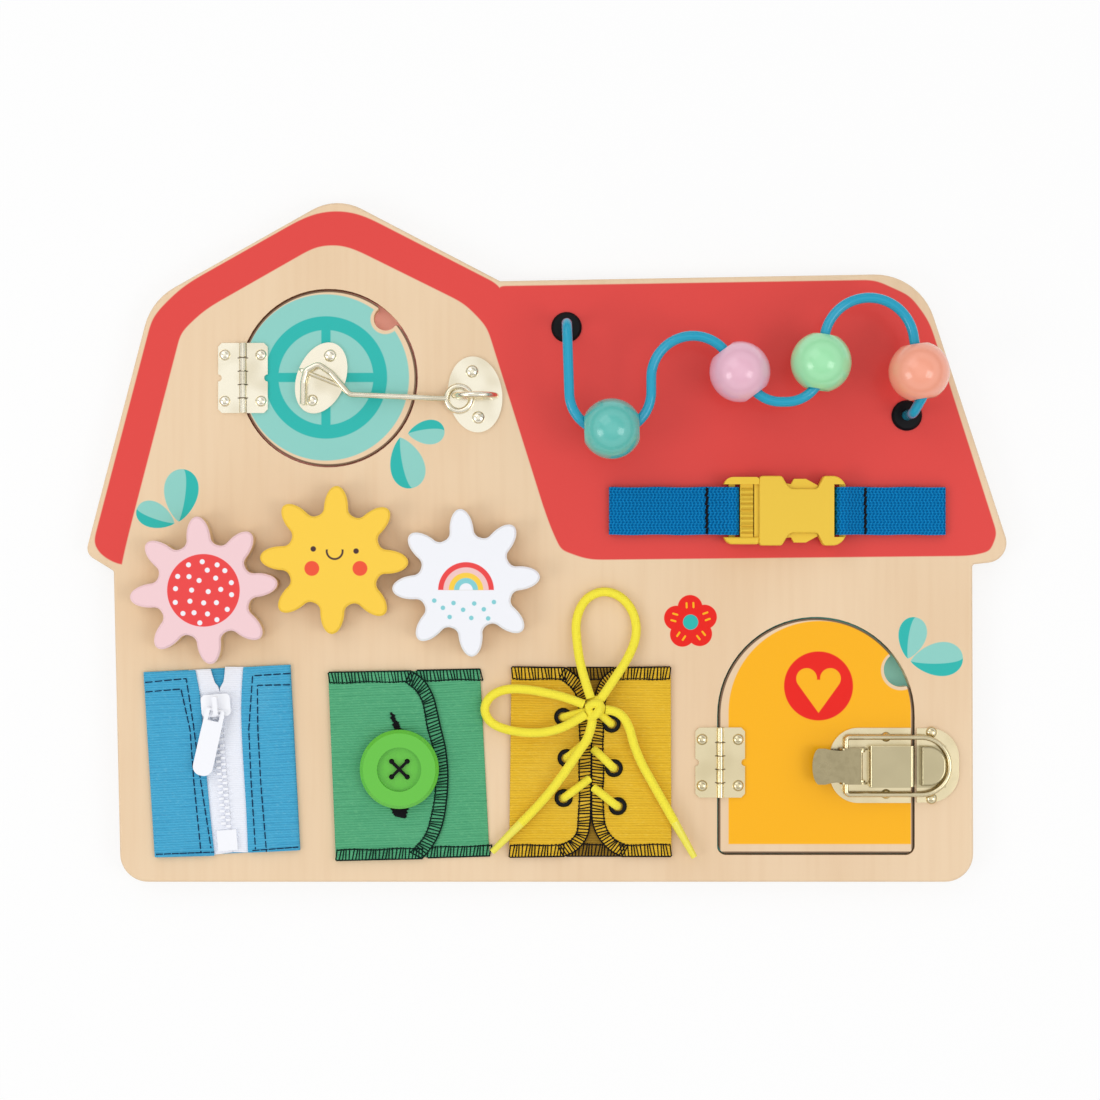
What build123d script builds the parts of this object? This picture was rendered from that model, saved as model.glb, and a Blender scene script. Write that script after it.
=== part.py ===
from build123d import *
from math import atan2, cos, degrees, pi, radians, sin, sqrt
import os

# A wooden activity house: a house-shaped board that lies on its back, with latches, doors, gears,
# a bead maze, a strap buckle and three cloth patches. Millimetres, +Z out of the face.
# The origin is the middle of the board's underside.

# Board
board_width = 386.4
board_height = 284.3
front_thickness = 9.0
back_thickness = 3.0
edge_softening = 1.2
roof_corner_radius = 26.0
apex_radius = 21.8
eave_radius = 8.4
eave_tip_radius = 5.0
base_corner_radius = 11.8
inner_corner_radius = 1.2
back_plate_inset = 3.0
back_screw_radius = 1.6
back_screw_head_radius = 3.0
back_screw_head_height = 1.4
back_screw_length = 9.0
face_z = back_thickness + front_thickness
overrun = 1.0
seat_gap = 0.3

# Round window in the roof
window_place_shares = (-0.2355, 0.2442)
window_radius = 36.7
leaf_gap = 0.8
leaf_chamfer = 1.2
window_notch_radius = 5.0
window_notch_inset = 2.1
window_notch_angle = 46.2
notch_corner = 1.2
axis_behind_edge = 0.85

# Arched door
door_place_shares = (0.2940, -0.4572)
door_width = 81.4
door_spring_height = 57.7
door_corner_radius = 3.0
door_notch_radius = 7.3
door_notch_angle = 28.4
door_axis_behind_edge = 0.45

# Butt hinges of the window and the door
hinge_length = 29.4
hinge_leaf_width = 10.4
hinge_plate = 0.8
knuckle_radius = 1.5
hinge_pin_radius = 0.8
running_clearance = 0.06
knuckle_count = 5
knuckle_end_gap = 0.15
knuckle_side_clearance = 0.25
hinge_screw_radius = 2.1
hinge_screw_height = 1.1
hinge_screw_shank_radius = 0.9
hinge_screw_shank_length = 6.0
hinge_screw_pitch = 19.4
hinge_screw_reach = 7.6
hinge_corner_chamfer = 1.6
scallop_radius = 1.5
door_hinge_height = 38.1

# Hook, its keeper on the window and its eye on the board
latch_plate = 1.0
wire_radius = 1.25
keeper_long = 31.0
keeper_wide = 20.2
keeper_tilt = -21.7
keeper_offset = 3.0
keeper_bar_radius = 0.95
keeper_bar_rise = 1.0
keeper_rivet_pitch = 20.2
eye_long = 32.0
eye_wide = 22.6
eye_tilt = -7.8
eye_distance = 61.6
eye_drop = 6.9
eye_rivet_pitch = 19.5
arch_radius = 8.65
arch_wire_radius = 1.25
arch_side_shift = 0.6
ring_radius = 5.15
ring_offset_x = 6.8
ring_offset_y = 1.8
hook_rise = 2.1

# Draw latch of the door
latch_height = 36.9
latch_plate_thickness = 0.8
latch_base_length = 34.0
latch_base_width = 31.5
latch_base_end_gap = 1.0
latch_base_corner = 12.0
latch_base_rivet_spread = 24.0
latch_base_rivet_reach = 10.4
latch_box_length = 19.0
latch_box_width = 17.0
latch_box_height = 5.6
latch_wall = 0.8
pivot_height = 3.2
pivot_reach = 21.5
pivot_pin_radius = 0.9
ear_radius = 1.9
ear_thickness = 0.8
lever_width = 15.0
lever_waist = 13.2
lever_reach = 17.5
lever_rise = 3.0
lever_end_radius = 2.9
bail_pin_reach = 5.9
bail_wire_radius = 1.0
bail_width = 26.0
bail_reach = 44.3
catch_length = 17.8
catch_width = 31.2
tongue_length = 10.2
tongue_width = 16.6
tongue_height = 4.6
tongue_clearance = 0.7
catch_screw_spread = 27.8
catch_screw_reach = 6.2
catch_gap = 0.7

# Gears
gear_teeth = 8
gear_outer_radius = 30.8
gear_root_radius = 19.7
gear_tooth_width = 10.0
gear_tooth_length = 19.0
gear_root_fillet = 3.6
gear_thickness = 9.0
gear_edge_softening = 0.8
gear_centre_distance = 55.7
gear_lift = 1.2
spacer_radius = 9.0
sun_place_shares = (-0.2273, -0.0242)
pink_direction = 193.1
white_direction = -9.8
sun_turn = -2.0
pink_turn = 5.7
white_turn = 4.9
axle_radius = 4.0
axle_flange_radius = 7.5
axle_flange_thickness = 1.8
axle_depth_in_gear = 6.0
recess_clearance = 0.4

# Bead maze
maze_wire_radius = 2.1
maze_height = 25.0
maze_foot_depth = 6.0
grommet_radius = 6.4
grommet_height = 1.6
bead_radius = 12.5
bead_bore_radius = 4.7
bead_chamfer = 1.2
bead_drop = 2.2
green_bead_drop = 1.85
maze_top_radius = 6.0
maze_loop_radius = 16.35
maze_crest_radius = 17.2
maze_dip_radius = 14.7
maze_peak_radius = 18.4
maze_last_radius = 5.0
maze_end_radius = 4.0
maze_end_drop = 6.0
maze_first_place_shares = (0.0230, 0.3191)
maze_loop_place_shares = (0.0268, 0.1606)
maze_loop_far_place_shares = (0.1124, 0.1606)
maze_crest_place_shares = (0.1124, 0.2990)
maze_crest_far_place_shares = (0.1790, 0.2990)
maze_dip_place_shares = (0.2305, 0.2039)
maze_dip_far_place_shares = (0.2910, 0.2039)
maze_peak_place_shares = (0.2991, 0.3538)
maze_peak_far_place_shares = (0.3837, 0.3538)
maze_last_place_shares = (0.4010, 0.2130)
maze_end_place_shares = (0.3925, 0.1889)
teal_bead_route_share = 0.2480
pink_bead_route_share = 0.4960
green_bead_route_share = 0.6400
peach_bead_route_share = 0.8700

# Strap and side-release buckle
strap_place_shares = (0.2304, 0.0480)
strap_width = 20.0
strap_thickness = 1.5
left_strap_length = 54.6
right_strap_length = 47.4
strap_fold_length = 15.0
strap_screw_radius = 2.4
buckle_length = 36.2
buckle_width = 29.0
buckle_height = 7.6
buckle_wall = 1.4
buckle_mouth_length = 12.6
buckle_waist_width = 18.4
buckle_tail_length = 9.2
buckle_clearance = 0.25
clip_length = 39.0
clip_width = 28.0
clip_tail = 14.6
clip_rail = 3.8
clip_height = 4.8
clip_bar_width = 5.4
strap_bar_thickness = 2.0
strap_bar_width = 2.6
bore_clearance = 0.12
prong_width = 5.0
prong_barb = 2.2
tongue_bar_width = 4.0

# Cloth patches
cloth_thickness = 0.8
flap_thickness = 1.2
zip_width = 63.0
zip_height = 78.2
zip_place_shares = (-0.3516, -0.3207)
zip_tilt = 3.4
zip_line_tilt = 4.7
zip_cloth_lift = 1.4
tape_width = 8.4
tape_thickness = 0.5
tape_lift = 0.9
tape_length = 75.0
tooth_pitch = 2.6
tooth_width = 1.0
tooth_reach = 1.9
tooth_height = 1.5
tooth_rows = 18
stop_width = 8.2
stop_length = 8.6
slider_length = 9.4
slider_width = 12.2
slider_plate = 0.6
slider_top_plate = 1.1
slider_top_lift = 3.3
slider_flange = 1.0
slider_drop = 14.0
slider_bridge_length = 7.6
slider_bridge_width = 2.0
slider_bridge_height = 2.9
slider_bridge_bar = 1.0
pull_length = 28.0
pull_width = 8.4
pull_thickness = 1.5
pull_bar_radius = 0.7
pull_slot_length = 5.4
pull_slot_width = 4.6
pull_neck_width = 8.0
pull_turn = -17.3

green_place_shares = (-0.1484, -0.3252)
green_width = 64.5
green_height = 79.0
green_tilt = 3.0
flap_reach = 50.6
flap_shoulder = 29.8
flap_bulge_radius = 36.0
button_place_shares = (-0.1577, -0.3316)
button_radius = 16.5
button_thickness = 4.2
button_rim = 5.2
button_dish = 1.4
button_hole_radius = 1.1
button_hole_pitch = 6.5
button_shank_radius = 2.6
thread_radius = 0.75
buttonhole_width = 6.0
buttonhole_length = 36.0

yellow_place_shares = (0.0490, -0.3218)
yellow_width = 67.0
yellow_height = 79.3
flap_meet_offset = 0.5
flap_meet_gap = 0.4
yellow_flap_curve = 15.0
eyelet_radius = 3.8
eyelet_hole_radius = 2.1
eyelet_height = 0.8
eyelet_barrel = 0.6
left_eyelet_offsets_shares = ((-0.171, 0.237), (-0.150, 0.020), (-0.168, -0.191))
right_eyelet_offsets_shares = ((0.132, 0.202), (0.146, -0.033), (0.170, -0.234))
lace_radius = 1.9
crossing_radius = 1.6
crossing_bend = 1.8
crossing_lift = 0.2
aglet_length = 17.0
knot_radius = 4.6
knot_place = (20.4, -68.9, 18.75)

# Lace routes, each from the knot outwards
top_loop_route = [
    (18.9, -64.43, 18.6), (14.9, -52.5, 18.2), (13.2, -41.5, 15.6), (12.6, -32.0, 14.6),
    (16.2, -23.4, 14.2), (23.6, -19.6, 14.2), (31.4, -21.6, 14.2), (37.2, -28.6, 14.2),
    (38.6, -38.2, 14.6), (34.8, -47.8, 16.4), (28.9, -56.4, 18.6), (23.05, -65.0, 18.7),
]
left_loop_route = [
    (16.03, -67.11, 18.93), (9.4, -64.4, 19.2), (1.2, -62.4, 19.0), (-7.6, -60.8, 18.4),
    (-16.6, -60.6, 17.2), (-23.4, -63.8, 15.8), (-26.0, -69.6, 15.2), (-23.0, -75.2, 15.6),
    (-16.0, -78.0, 17.0), (-6.6, -79.2, 18.6), (2.4, -78.4, 20.6), (10.2, -75.3, 22.2),
    (16.56, -71.31, 20.05),
]
left_tail_route = [
    (19.66, -73.52, 19.38), (18.6, -80.2, 20.3), (13.2, -87.6, 21.0), (8.0, -95.6, 19.4),
    (1.8, -104.0, 17.4), (-4.4, -111.2, 16.2), (-10.2, -117.0, 16.1),
]
right_tail_route = [
    (25.1, -69.3, 18.7), (28.6, -69.6, 18.6), (32.8, -72.2, 18.5), (35.4, -77.6, 18.2),
    (36.8, -83.6, 17.4), (40.0, -91.6, 16.4), (44.6, -99.8, 16.1), (49.6, -108.6, 16.1),
    (54.0, -116.4, 16.1),
]


def place(shares, height=0.0):
    """A point on the board, from its shares of the board's width and height."""
    return Vector(shares[0] * board_width, shares[1] * board_height, height)


def at(point, height, shape, turn=0.0):
    """Put a shape at a point of the board, turned about +Z."""
    return Pos(point.X, point.Y, height) * Rot(0, 0, turn) * shape


def disc(radius, height):
    return Cylinder(radius, height, align=(Align.CENTER, Align.CENTER, Align.MIN))


def block(length, width, height):
    return Box(length, width, height, align=(Align.CENTER, Align.CENTER, Align.MIN))


def slab(outline, height):
    return extrude(outline, amount=height, dir=(0, 0, 1))


def head_form(radius, height):
    """A low screw or rivet head that stands on z = 0."""
    return Cone(radius, radius * 0.6, height, align=(Align.CENTER, Align.CENTER, Align.MIN))


def rounded_outline(points, radii):
    return make_face(FilletPolyline(*points, radius=radii, close=True))


def wire_solid(points, radii, radius):
    """A round wire along straight runs joined by tangent arcs, one radius for each corner."""
    path = FilletPolyline(*points, radius=radii)
    section = Plane(path @ 0, z_dir=path % 0) * Circle(radius)
    return sweep(section, path=path), path


def save(name, shape):
    shape.label = name
    export_step(shape, f"parts/{name}.step")


os.makedirs("parts", exist_ok=True)

# Places that several pieces share
window_centre = place(window_place_shares)
door_foot = place(door_place_shares)
window_axis_x = window_centre.X - window_radius + axis_behind_edge
door_axis_x = door_foot.X - door_width / 2 + door_axis_behind_edge
door_hinge_y = door_foot.Y + door_hinge_height
axis_z = face_z + knuckle_radius
sun_centre = place(sun_place_shares)


def geared(direction):
    return sun_centre + Vector(gear_centre_distance, 0, 0).rotate(Axis.Z, direction)


pink_centre = geared(pink_direction)
white_centre = geared(white_direction)
eye_centre = Vector(window_centre.X + eye_distance, window_centre.Y - eye_drop, 0)
strap_line_y = place(strap_place_shares).Y
socket_x = place(strap_place_shares).X


# Board
def board_outline():
    outline_shares = (
        ((-0.5000, -0.0150), eave_tip_radius),
        ((-0.4693, -0.0406), inner_corner_radius),
        ((-0.4617, -0.5000), base_corner_radius),
        ((0.4654, -0.5000), base_corner_radius),
        ((0.4643, -0.0310), inner_corner_radius),
        ((0.5088, -0.0244), eave_radius),
        ((0.4068, 0.3989), roof_corner_radius),
        ((-0.0492, 0.3878), inner_corner_radius),
        ((-0.2268, 0.5138), apex_radius),
        ((-0.4284, 0.3594), roof_corner_radius),
    )
    points = [place(shares) for shares, radius in outline_shares]
    return rounded_outline(points, [radius for shares, radius in outline_shares])


def window_outline(radius):
    return Pos(window_centre.X, window_centre.Y) * Circle(radius)


def door_outline(grow):
    """The door with a semicircular head, grown all round by the gap."""
    half = door_width / 2 + grow
    foot = -grow
    body = Pos(0, (door_spring_height + foot) / 2) * Rectangle(2 * half, door_spring_height - foot)
    head = Pos(0, door_spring_height) * Circle(half)
    outline = body + head
    feet = outline.vertices().sort_by(Axis.Y)[:2]
    return Pos(door_foot.X, door_foot.Y) * fillet(feet, door_corner_radius + grow)


def notched(outline, centre, radius):
    """A panel's outline with a finger notch bitten out of its rim."""
    outline -= Pos(centre.X, centre.Y) * Circle(radius)
    corners = [
        v for v in outline.vertices()
        if abs((Vector(v.X, v.Y, 0) - Vector(centre.X, centre.Y, 0)).length - radius) < seat_gap
    ]
    return fillet(corners, notch_corner)


def window_notched():
    reach = Vector(window_radius - window_notch_inset, 0, 0)
    centre = window_centre + reach.rotate(Axis.Z, window_notch_angle)
    return notched(window_outline(window_radius), centre, window_notch_radius)


def door_notched():
    head = Vector(door_foot.X, door_foot.Y + door_spring_height, 0)
    centre = head + Vector(door_width / 2, 0, 0).rotate(Axis.Z, door_notch_angle)
    return notched(door_outline(0), centre, door_notch_radius)


gear_centres = (sun_centre, pink_centre, white_centre)
flange_recess = axle_flange_thickness + recess_clearance
back_screw_place_shares = (
    (-0.43, -0.47), (0.43, -0.47), (-0.16, -0.47), (0.45, 0.05), (0.37, 0.36), (-0.02, 0.36),
    (-0.23, 0.44), (-0.44, 0.08),
)


def front_panel():
    panel = slab(board_outline(), front_thickness)
    rim = panel.faces().sort_by(Axis.Z)[-1].outer_wire().edges()
    panel = fillet(rim, edge_softening)
    cut_height = front_thickness + 2 * overrun
    panel -= Pos(0, 0, -overrun) * slab(window_outline(window_radius + leaf_gap), cut_height)
    panel -= Pos(0, 0, -overrun) * slab(door_outline(leaf_gap), cut_height)
    for centre in gear_centres:
        panel -= at(centre, -overrun, disc(axle_radius + running_clearance, cut_height))
        recess = disc(axle_flange_radius + recess_clearance, flange_recess + overrun)
        panel -= at(centre, -overrun, recess)
    foot_hole = disc(maze_wire_radius + running_clearance, maze_foot_depth + overrun)
    for shares in (maze_first_place_shares, maze_end_place_shares):
        panel -= at(place(shares), front_thickness - maze_foot_depth, foot_hole)
    pilot = disc(back_screw_radius, back_screw_length - back_thickness + overrun)
    for shares in back_screw_place_shares:
        panel -= at(place(shares), -overrun, pilot)
    panel = Pos(0, 0, back_thickness) * panel
    for shank in fixing_shanks() + strap_screws():
        panel -= shank
    return panel


def back_panel():
    panel = slab(offset(board_outline(), -back_plate_inset), back_thickness)
    hole = disc(back_screw_radius, back_thickness + 2 * overrun)
    sink = disc(back_screw_head_radius, back_screw_head_height + overrun)
    for shares in back_screw_place_shares:
        panel -= at(place(shares), -overrun, hole)
        panel -= at(place(shares), -overrun, sink)
    return panel


def back_screws():
    head = disc(back_screw_head_radius, back_screw_head_height)
    screw = head + disc(back_screw_radius, back_screw_length)
    return [at(place(shares), 0, screw) for shares in back_screw_place_shares]


# Screws and rivets: each is a domed head on a plate and a shank that goes down into the wood
def hinge_screw_places(axis_x, middle_y, side):
    x = axis_x + side * hinge_screw_reach
    return [Vector(x, middle_y + sign * hinge_screw_pitch / 2, 0) for sign in (-1, 1)]


def pair_along(centre, pitch, angle):
    step = Vector(0, pitch / 2, 0).rotate(Axis.Z, angle)
    return [centre + step, centre - step]


keeper_centre = window_centre - Vector(keeper_offset, 0, 0)
latch_y = door_foot.Y + latch_height
latch_base_right = door_foot.X + door_width / 2 - latch_base_end_gap
catch_left = door_foot.X + door_width / 2 + leaf_gap + catch_gap
base_rivets = [
    Vector(latch_base_right - latch_base_rivet_reach, latch_y + sign * latch_base_rivet_spread / 2, 0)
    for sign in (-1, 1)
]
catch_screws = [
    Vector(catch_left + catch_screw_reach, latch_y + sign * catch_screw_spread / 2, 0)
    for sign in (-1, 1)
]
board_heads = (
    [(p, face_z + hinge_plate) for p in hinge_screw_places(window_axis_x, window_centre.Y, -1)]
    + [(p, face_z + hinge_plate) for p in hinge_screw_places(door_axis_x, door_hinge_y, -1)]
    + [(p, face_z + latch_plate) for p in pair_along(eye_centre, eye_rivet_pitch, -eye_tilt)]
    + [(p, face_z + latch_plate_thickness) for p in catch_screws]
)
window_heads = (
    [(p, face_z + hinge_plate) for p in hinge_screw_places(window_axis_x, window_centre.Y, 1)]
    + [(p, face_z + latch_plate) for p in pair_along(keeper_centre, keeper_rivet_pitch, keeper_tilt)]
)
door_heads = (
    [(p, face_z + hinge_plate) for p in hinge_screw_places(door_axis_x, door_hinge_y, 1)]
    + [(p, face_z + latch_plate_thickness) for p in base_rivets]
)


def shank_at(point, seat):
    length = hinge_screw_shank_length
    return at(point, seat - length, disc(hinge_screw_shank_radius, length))


def fixing_shanks():
    return [shank_at(point, seat) for point, seat in board_heads]


def fixings(heads):
    head = head_form(hinge_screw_radius, hinge_screw_height)
    return [at(point, seat, head) + shank_at(point, seat) for point, seat in heads]


# Hinges: a leaf is a plate with its share of the knuckles, and the pin runs through them all
def knuckle_spans():
    pitch = hinge_length / knuckle_count
    return [(-hinge_length / 2 + pitch * i, pitch) for i in range(knuckle_count)]


def hinge_leaf(axis_x, middle_y, side, heads):
    plate = block(hinge_leaf_width, hinge_length, hinge_plate)
    outer = [e for e in plate.edges().filter_by(Axis.Z) if e.center().X > 0]
    plate = chamfer(outer, hinge_corner_chamfer)
    plate -= Pos(hinge_leaf_width / 2, 0, -overrun) * disc(scallop_radius, hinge_plate + 2 * overrun)
    leaf = Pos(hinge_leaf_width / 2, 0, -knuckle_radius) * plate
    own = 0 if side < 0 else 1
    for index, (start, pitch) in enumerate(knuckle_spans()):
        middle = start + pitch / 2
        barrel = Pos(0, middle, 0) * Rot(90, 0, 0)
        if index % 2 == own:
            leaf += barrel * Cylinder(knuckle_radius, pitch - 2 * knuckle_end_gap)
        else:
            clear = knuckle_radius + knuckle_side_clearance
            leaf -= barrel * Cylinder(clear, pitch + 2 * knuckle_end_gap)
    bore = hinge_pin_radius + running_clearance
    leaf -= Rot(90, 0, 0) * Cylinder(bore, hinge_length + 2 * overrun)
    turn = 0 if side > 0 else 180
    leaf = Pos(axis_x, middle_y, axis_z) * Rot(0, 0, turn) * leaf
    for point, seat in heads:
        leaf -= shank_at(point, seat)
    return leaf


def hinge_pins():
    pin = Rot(90, 0, 0) * Cylinder(hinge_pin_radius, hinge_length)
    return [
        Pos(window_axis_x, window_centre.Y, axis_z) * pin,
        Pos(door_axis_x, door_hinge_y, axis_z) * pin,
    ]


# Window and its keeper
def swinging_panel(outline):
    panel = slab(outline, front_thickness - seat_gap)
    panel = chamfer(panel.faces().sort_by(Axis.Z)[0].outer_wire().edges(), leaf_chamfer)
    return Pos(0, 0, back_thickness + seat_gap) * panel


def window_disc():
    disc_solid = swinging_panel(window_notched())
    for point, seat in window_heads:
        disc_solid -= shank_at(point, seat)
    return disc_solid


def oval_plate(long, wide, thickness, tilt, centre):
    return at(centre, face_z, slab(Ellipse(wide / 2, long / 2), thickness), tilt)


def hook_keeper():
    plate = oval_plate(keeper_long, keeper_wide, latch_plate, keeper_tilt, keeper_centre)
    for point, seat in window_heads[2:]:
        plate -= shank_at(point, seat)
    half = keeper_wide / 2 - keeper_bar_radius
    seat = face_z + latch_plate
    bar_z = seat + keeper_bar_rise - overrun / 2 + keeper_bar_radius / 2
    points = [
        (-half, 0, seat - latch_plate / 2), (-half, 0, bar_z), (half, 0, bar_z),
        (half, 0, seat - latch_plate / 2),
    ]
    bar = wire_solid(points, [keeper_bar_radius * 1.2, keeper_bar_radius * 1.2], keeper_bar_radius)[0]
    bar = Pos(keeper_centre.X, keeper_centre.Y, 0) * Rot(0, 0, keeper_tilt) * bar
    return plate + bar


# Hook and eye: the hook's ring is threaded on the arch, and lifts along it
hook_axis_z = face_z + latch_plate + seat_gap + wire_radius
arch_y = eye_centre.Y - arch_side_shift


def hook_eye():
    plate = oval_plate(eye_long, eye_wide, latch_plate, -eye_tilt, eye_centre)
    for point, seat in board_heads[4:6]:
        plate -= shank_at(point, seat)
    foot = face_z + latch_plate / 2
    top = hook_axis_z + arch_radius
    left = eye_centre.X - arch_radius
    right = eye_centre.X + arch_radius
    points = [(left, arch_y, foot), (left, arch_y, top), (right, arch_y, top), (right, arch_y, foot)]
    bend = arch_radius * 0.999
    arch = wire_solid(points, [bend, bend], arch_wire_radius)[0]
    return plate + arch


def hook():
    ring_x = eye_centre.X - ring_offset_x
    ring_y = eye_centre.Y - ring_offset_y
    ring = Pos(ring_x, ring_y, hook_axis_z) * Torus(ring_radius, wire_radius)
    raised = hook_axis_z + hook_rise
    hook_shares = (
        ((-0.09, 0.000), 0, 0),
        ((-0.74, 0.025), 1, 2.4),
        ((-0.87, 0.175), 1, 1.7),
        ((-0.955, 0.232), 1, 2.2),
        ((-1.035, 0.190), 1, 1.9),
        ((-1.055, 0.105), 1, 4.0),
        ((-1.057, -0.040), 1, 0),
    )
    points = [
        (ring_x + along * eye_distance, ring_y + across * eye_distance, raised if lifted else hook_axis_z)
        for (along, across), lifted, radius in hook_shares
    ]
    radii = [radius * wire_radius for shares, lifted, radius in hook_shares[1:-1]]
    rod = wire_solid(points, radii, wire_radius)[0]
    return ring + rod


# Door and its draw latch
def door_panel():
    panel = swinging_panel(door_notched())
    for point, seat in door_heads:
        panel -= shank_at(point, seat)
    return panel


pivot_x = latch_base_right - pivot_reach
pivot_z = face_z + latch_plate_thickness + pivot_height
bail_x = pivot_x - bail_pin_reach


def latch_base():
    outline = Rectangle(latch_base_length, latch_base_width)
    left = outline.vertices().sort_by(Axis.X)[:2]
    outline = fillet(left, latch_base_corner)
    plate_x = latch_base_right - latch_base_length / 2
    base = Pos(plate_x, latch_y, face_z) * slab(outline, latch_plate_thickness)
    seat = face_z + latch_plate_thickness
    box_x = latch_base_right - latch_box_length / 2 + overrun
    cover = block(latch_box_length, latch_box_width, latch_box_height)
    cover = fillet(cover.faces().sort_by(Axis.Z)[-1].edges().filter_by(Axis.Y), 2 * latch_wall)
    hollow = block(
        latch_box_length - 2 * latch_wall, latch_box_width - 2 * latch_wall, latch_box_height - latch_wall
    )
    base += Pos(box_x, latch_y, seat) * (cover - hollow)
    for sign in (-1, 1):
        ear_y = latch_y + sign * (lever_width / 2 - latch_wall - running_clearance - ear_thickness / 2)
        ear = Pos(0, 0, 0) * Rot(90, 0, 0) * Cylinder(ear_radius, ear_thickness)
        ear += Pos(0, 0, -pivot_height) * block(2 * ear_radius, ear_thickness, pivot_height)
        base += Pos(pivot_x, ear_y, pivot_z) * ear
    bore = pivot_pin_radius + running_clearance
    base -= Pos(pivot_x, latch_y, pivot_z) * Rot(90, 0, 0) * Cylinder(bore, latch_base_width)
    for point, head_seat in door_heads[2:]:
        base -= shank_at(point, head_seat)
    return base


def latch_pivot_pin():
    return Pos(pivot_x, latch_y, pivot_z) * Rot(90, 0, 0) * Cylinder(pivot_pin_radius, lever_width)


def latch_lever():
    """A folded channel: a waisted top plate over two side cheeks, with a round thumb end."""
    end = lever_end_radius
    top = Pos(-lever_reach / 2, 0) * Rectangle(lever_reach, lever_width)
    waist_radius = lever_reach * 1.1
    for sign in (-1, 1):
        waist_y = sign * (lever_waist / 2 + waist_radius)
        top -= Pos(-lever_reach * 0.52, waist_y) * Circle(waist_radius)
    thumb = Pos(-lever_reach, 0) * Ellipse(end, lever_width / 2)
    plate = Pos(0, 0, lever_rise - latch_wall) * slab(top + thumb, latch_wall)
    cheek = Rot(90, 0, 0) * Cylinder(end, latch_wall)
    bail_cheek = Pos(-bail_pin_reach / 2, 0, (lever_rise - end) / 2)
    cheek += bail_cheek * Box(bail_pin_reach, latch_wall, lever_rise + end)
    cheek += Pos(-bail_pin_reach, 0, 0) * Rot(90, 0, 0) * Cylinder(end, latch_wall)
    cheek &= Box(4 * lever_reach, lever_width, 2 * lever_rise)
    for sign in (-1, 1):
        plate += Pos(0, sign * (lever_width - latch_wall) / 2, 0) * cheek
    pivot_bore = pivot_pin_radius + running_clearance
    bail_bore = bail_wire_radius + running_clearance
    plate -= Rot(90, 0, 0) * Cylinder(pivot_bore, latch_base_width)
    plate -= Pos(-bail_pin_reach, 0, 0) * Rot(90, 0, 0) * Cylinder(bail_bore, latch_base_width)
    return Pos(pivot_x, latch_y, pivot_z) * plate


def latch_bail():
    """A wire loop hung on the lever, round at the end that goes over the catch."""
    half = bail_width / 2 - bail_wire_radius
    inner = lever_width / 2 - latch_wall - ear_thickness / 2
    corner = 1.5 * bail_wire_radius
    points = [
        (0, inner, 0), (0, half, 0), (bail_reach - bail_wire_radius, half, 0),
        (bail_reach - bail_wire_radius, -half, 0), (0, -half, 0), (0, -inner, 0),
    ]
    bend = half * 0.999
    bail = wire_solid(points, [corner, bend, bend, corner], bail_wire_radius)[0]
    return Pos(bail_x, latch_y, pivot_z) * bail


def latch_catch():
    half = catch_width / 2
    plate = Rectangle(catch_length, catch_width)
    right = plate.vertices().sort_by(Axis.X)[-2:]
    plate = fillet(right, catch_length * 0.7)
    catch = Pos(catch_left + catch_length / 2, latch_y, face_z) * slab(plate, latch_plate_thickness)
    bail_inside = bail_x + bail_reach - 2 * bail_wire_radius
    tongue = Rectangle(tongue_length, tongue_width)
    tongue = fillet(tongue.vertices().sort_by(Axis.X)[-2:], tongue_width * 0.45)
    tongue_x = bail_inside - tongue_clearance - tongue_length / 2
    seat = face_z + latch_plate_thickness
    tongue_solid = slab(tongue, tongue_height)
    tongue_solid = fillet(tongue_solid.faces().sort_by(Axis.Z)[-1].edges(), latch_wall)
    catch += Pos(tongue_x, latch_y, seat) * tongue_solid
    for point, head_seat in board_heads[6:]:
        catch -= shank_at(point, head_seat)
    return catch


# Gears: eight petal teeth on a disc, on pegs that turn in the board
def gear_outline():
    outline = Circle(gear_root_radius)
    petal = Ellipse(gear_tooth_length / 2, gear_tooth_width / 2)
    tooth = Pos(gear_outer_radius - gear_tooth_length / 2, 0) * petal
    for index in range(gear_teeth):
        outline += Rot(0, 0, 360 / gear_teeth * index) * tooth
    roots = [
        v for v in outline.vertices()
        if abs(Vector(v.X, v.Y).length - gear_root_radius) < gear_edge_softening
    ]
    return fillet(roots, gear_root_fillet)


def gear(centre, turn):
    body = slab(gear_outline(), gear_thickness)
    body = chamfer(body.faces().sort_by(Axis.Z)[-1].edges(), gear_edge_softening)
    body -= Pos(0, 0, -overrun) * disc(axle_radius, axle_depth_in_gear + overrun)
    return at(centre, face_z + gear_lift, body, turn)


def gear_axle(centre):
    flange_z = back_thickness + recess_clearance / 2
    top = face_z + gear_lift + axle_depth_in_gear
    peg = disc(axle_radius, top - flange_z) + disc(axle_flange_radius, axle_flange_thickness)
    return at(centre, flange_z, peg)


def gear_spacers():
    ring = disc(spacer_radius, gear_lift - running_clearance)
    ring -= Pos(0, 0, -overrun) * disc(axle_radius + running_clearance, gear_lift + 2 * overrun)
    return [at(centre, face_z, ring) for centre in gear_centres]


# Bead maze
maze_z = face_z + maze_height
foot_z = face_z - maze_foot_depth


def maze_points():
    first = place(maze_first_place_shares)
    end = place(maze_end_place_shares)
    level = [
        maze_loop_place_shares, maze_loop_far_place_shares, maze_crest_place_shares,
        maze_crest_far_place_shares, maze_dip_place_shares, maze_dip_far_place_shares,
        maze_peak_place_shares, maze_peak_far_place_shares, maze_last_place_shares,
    ]
    points = [first + Vector(0, 0, foot_z), first + Vector(0, 0, maze_z)]
    points += [place(shares, maze_z) for shares in level]
    return points + [end + Vector(0, 0, maze_z - maze_end_drop), end + Vector(0, 0, foot_z)]


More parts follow.
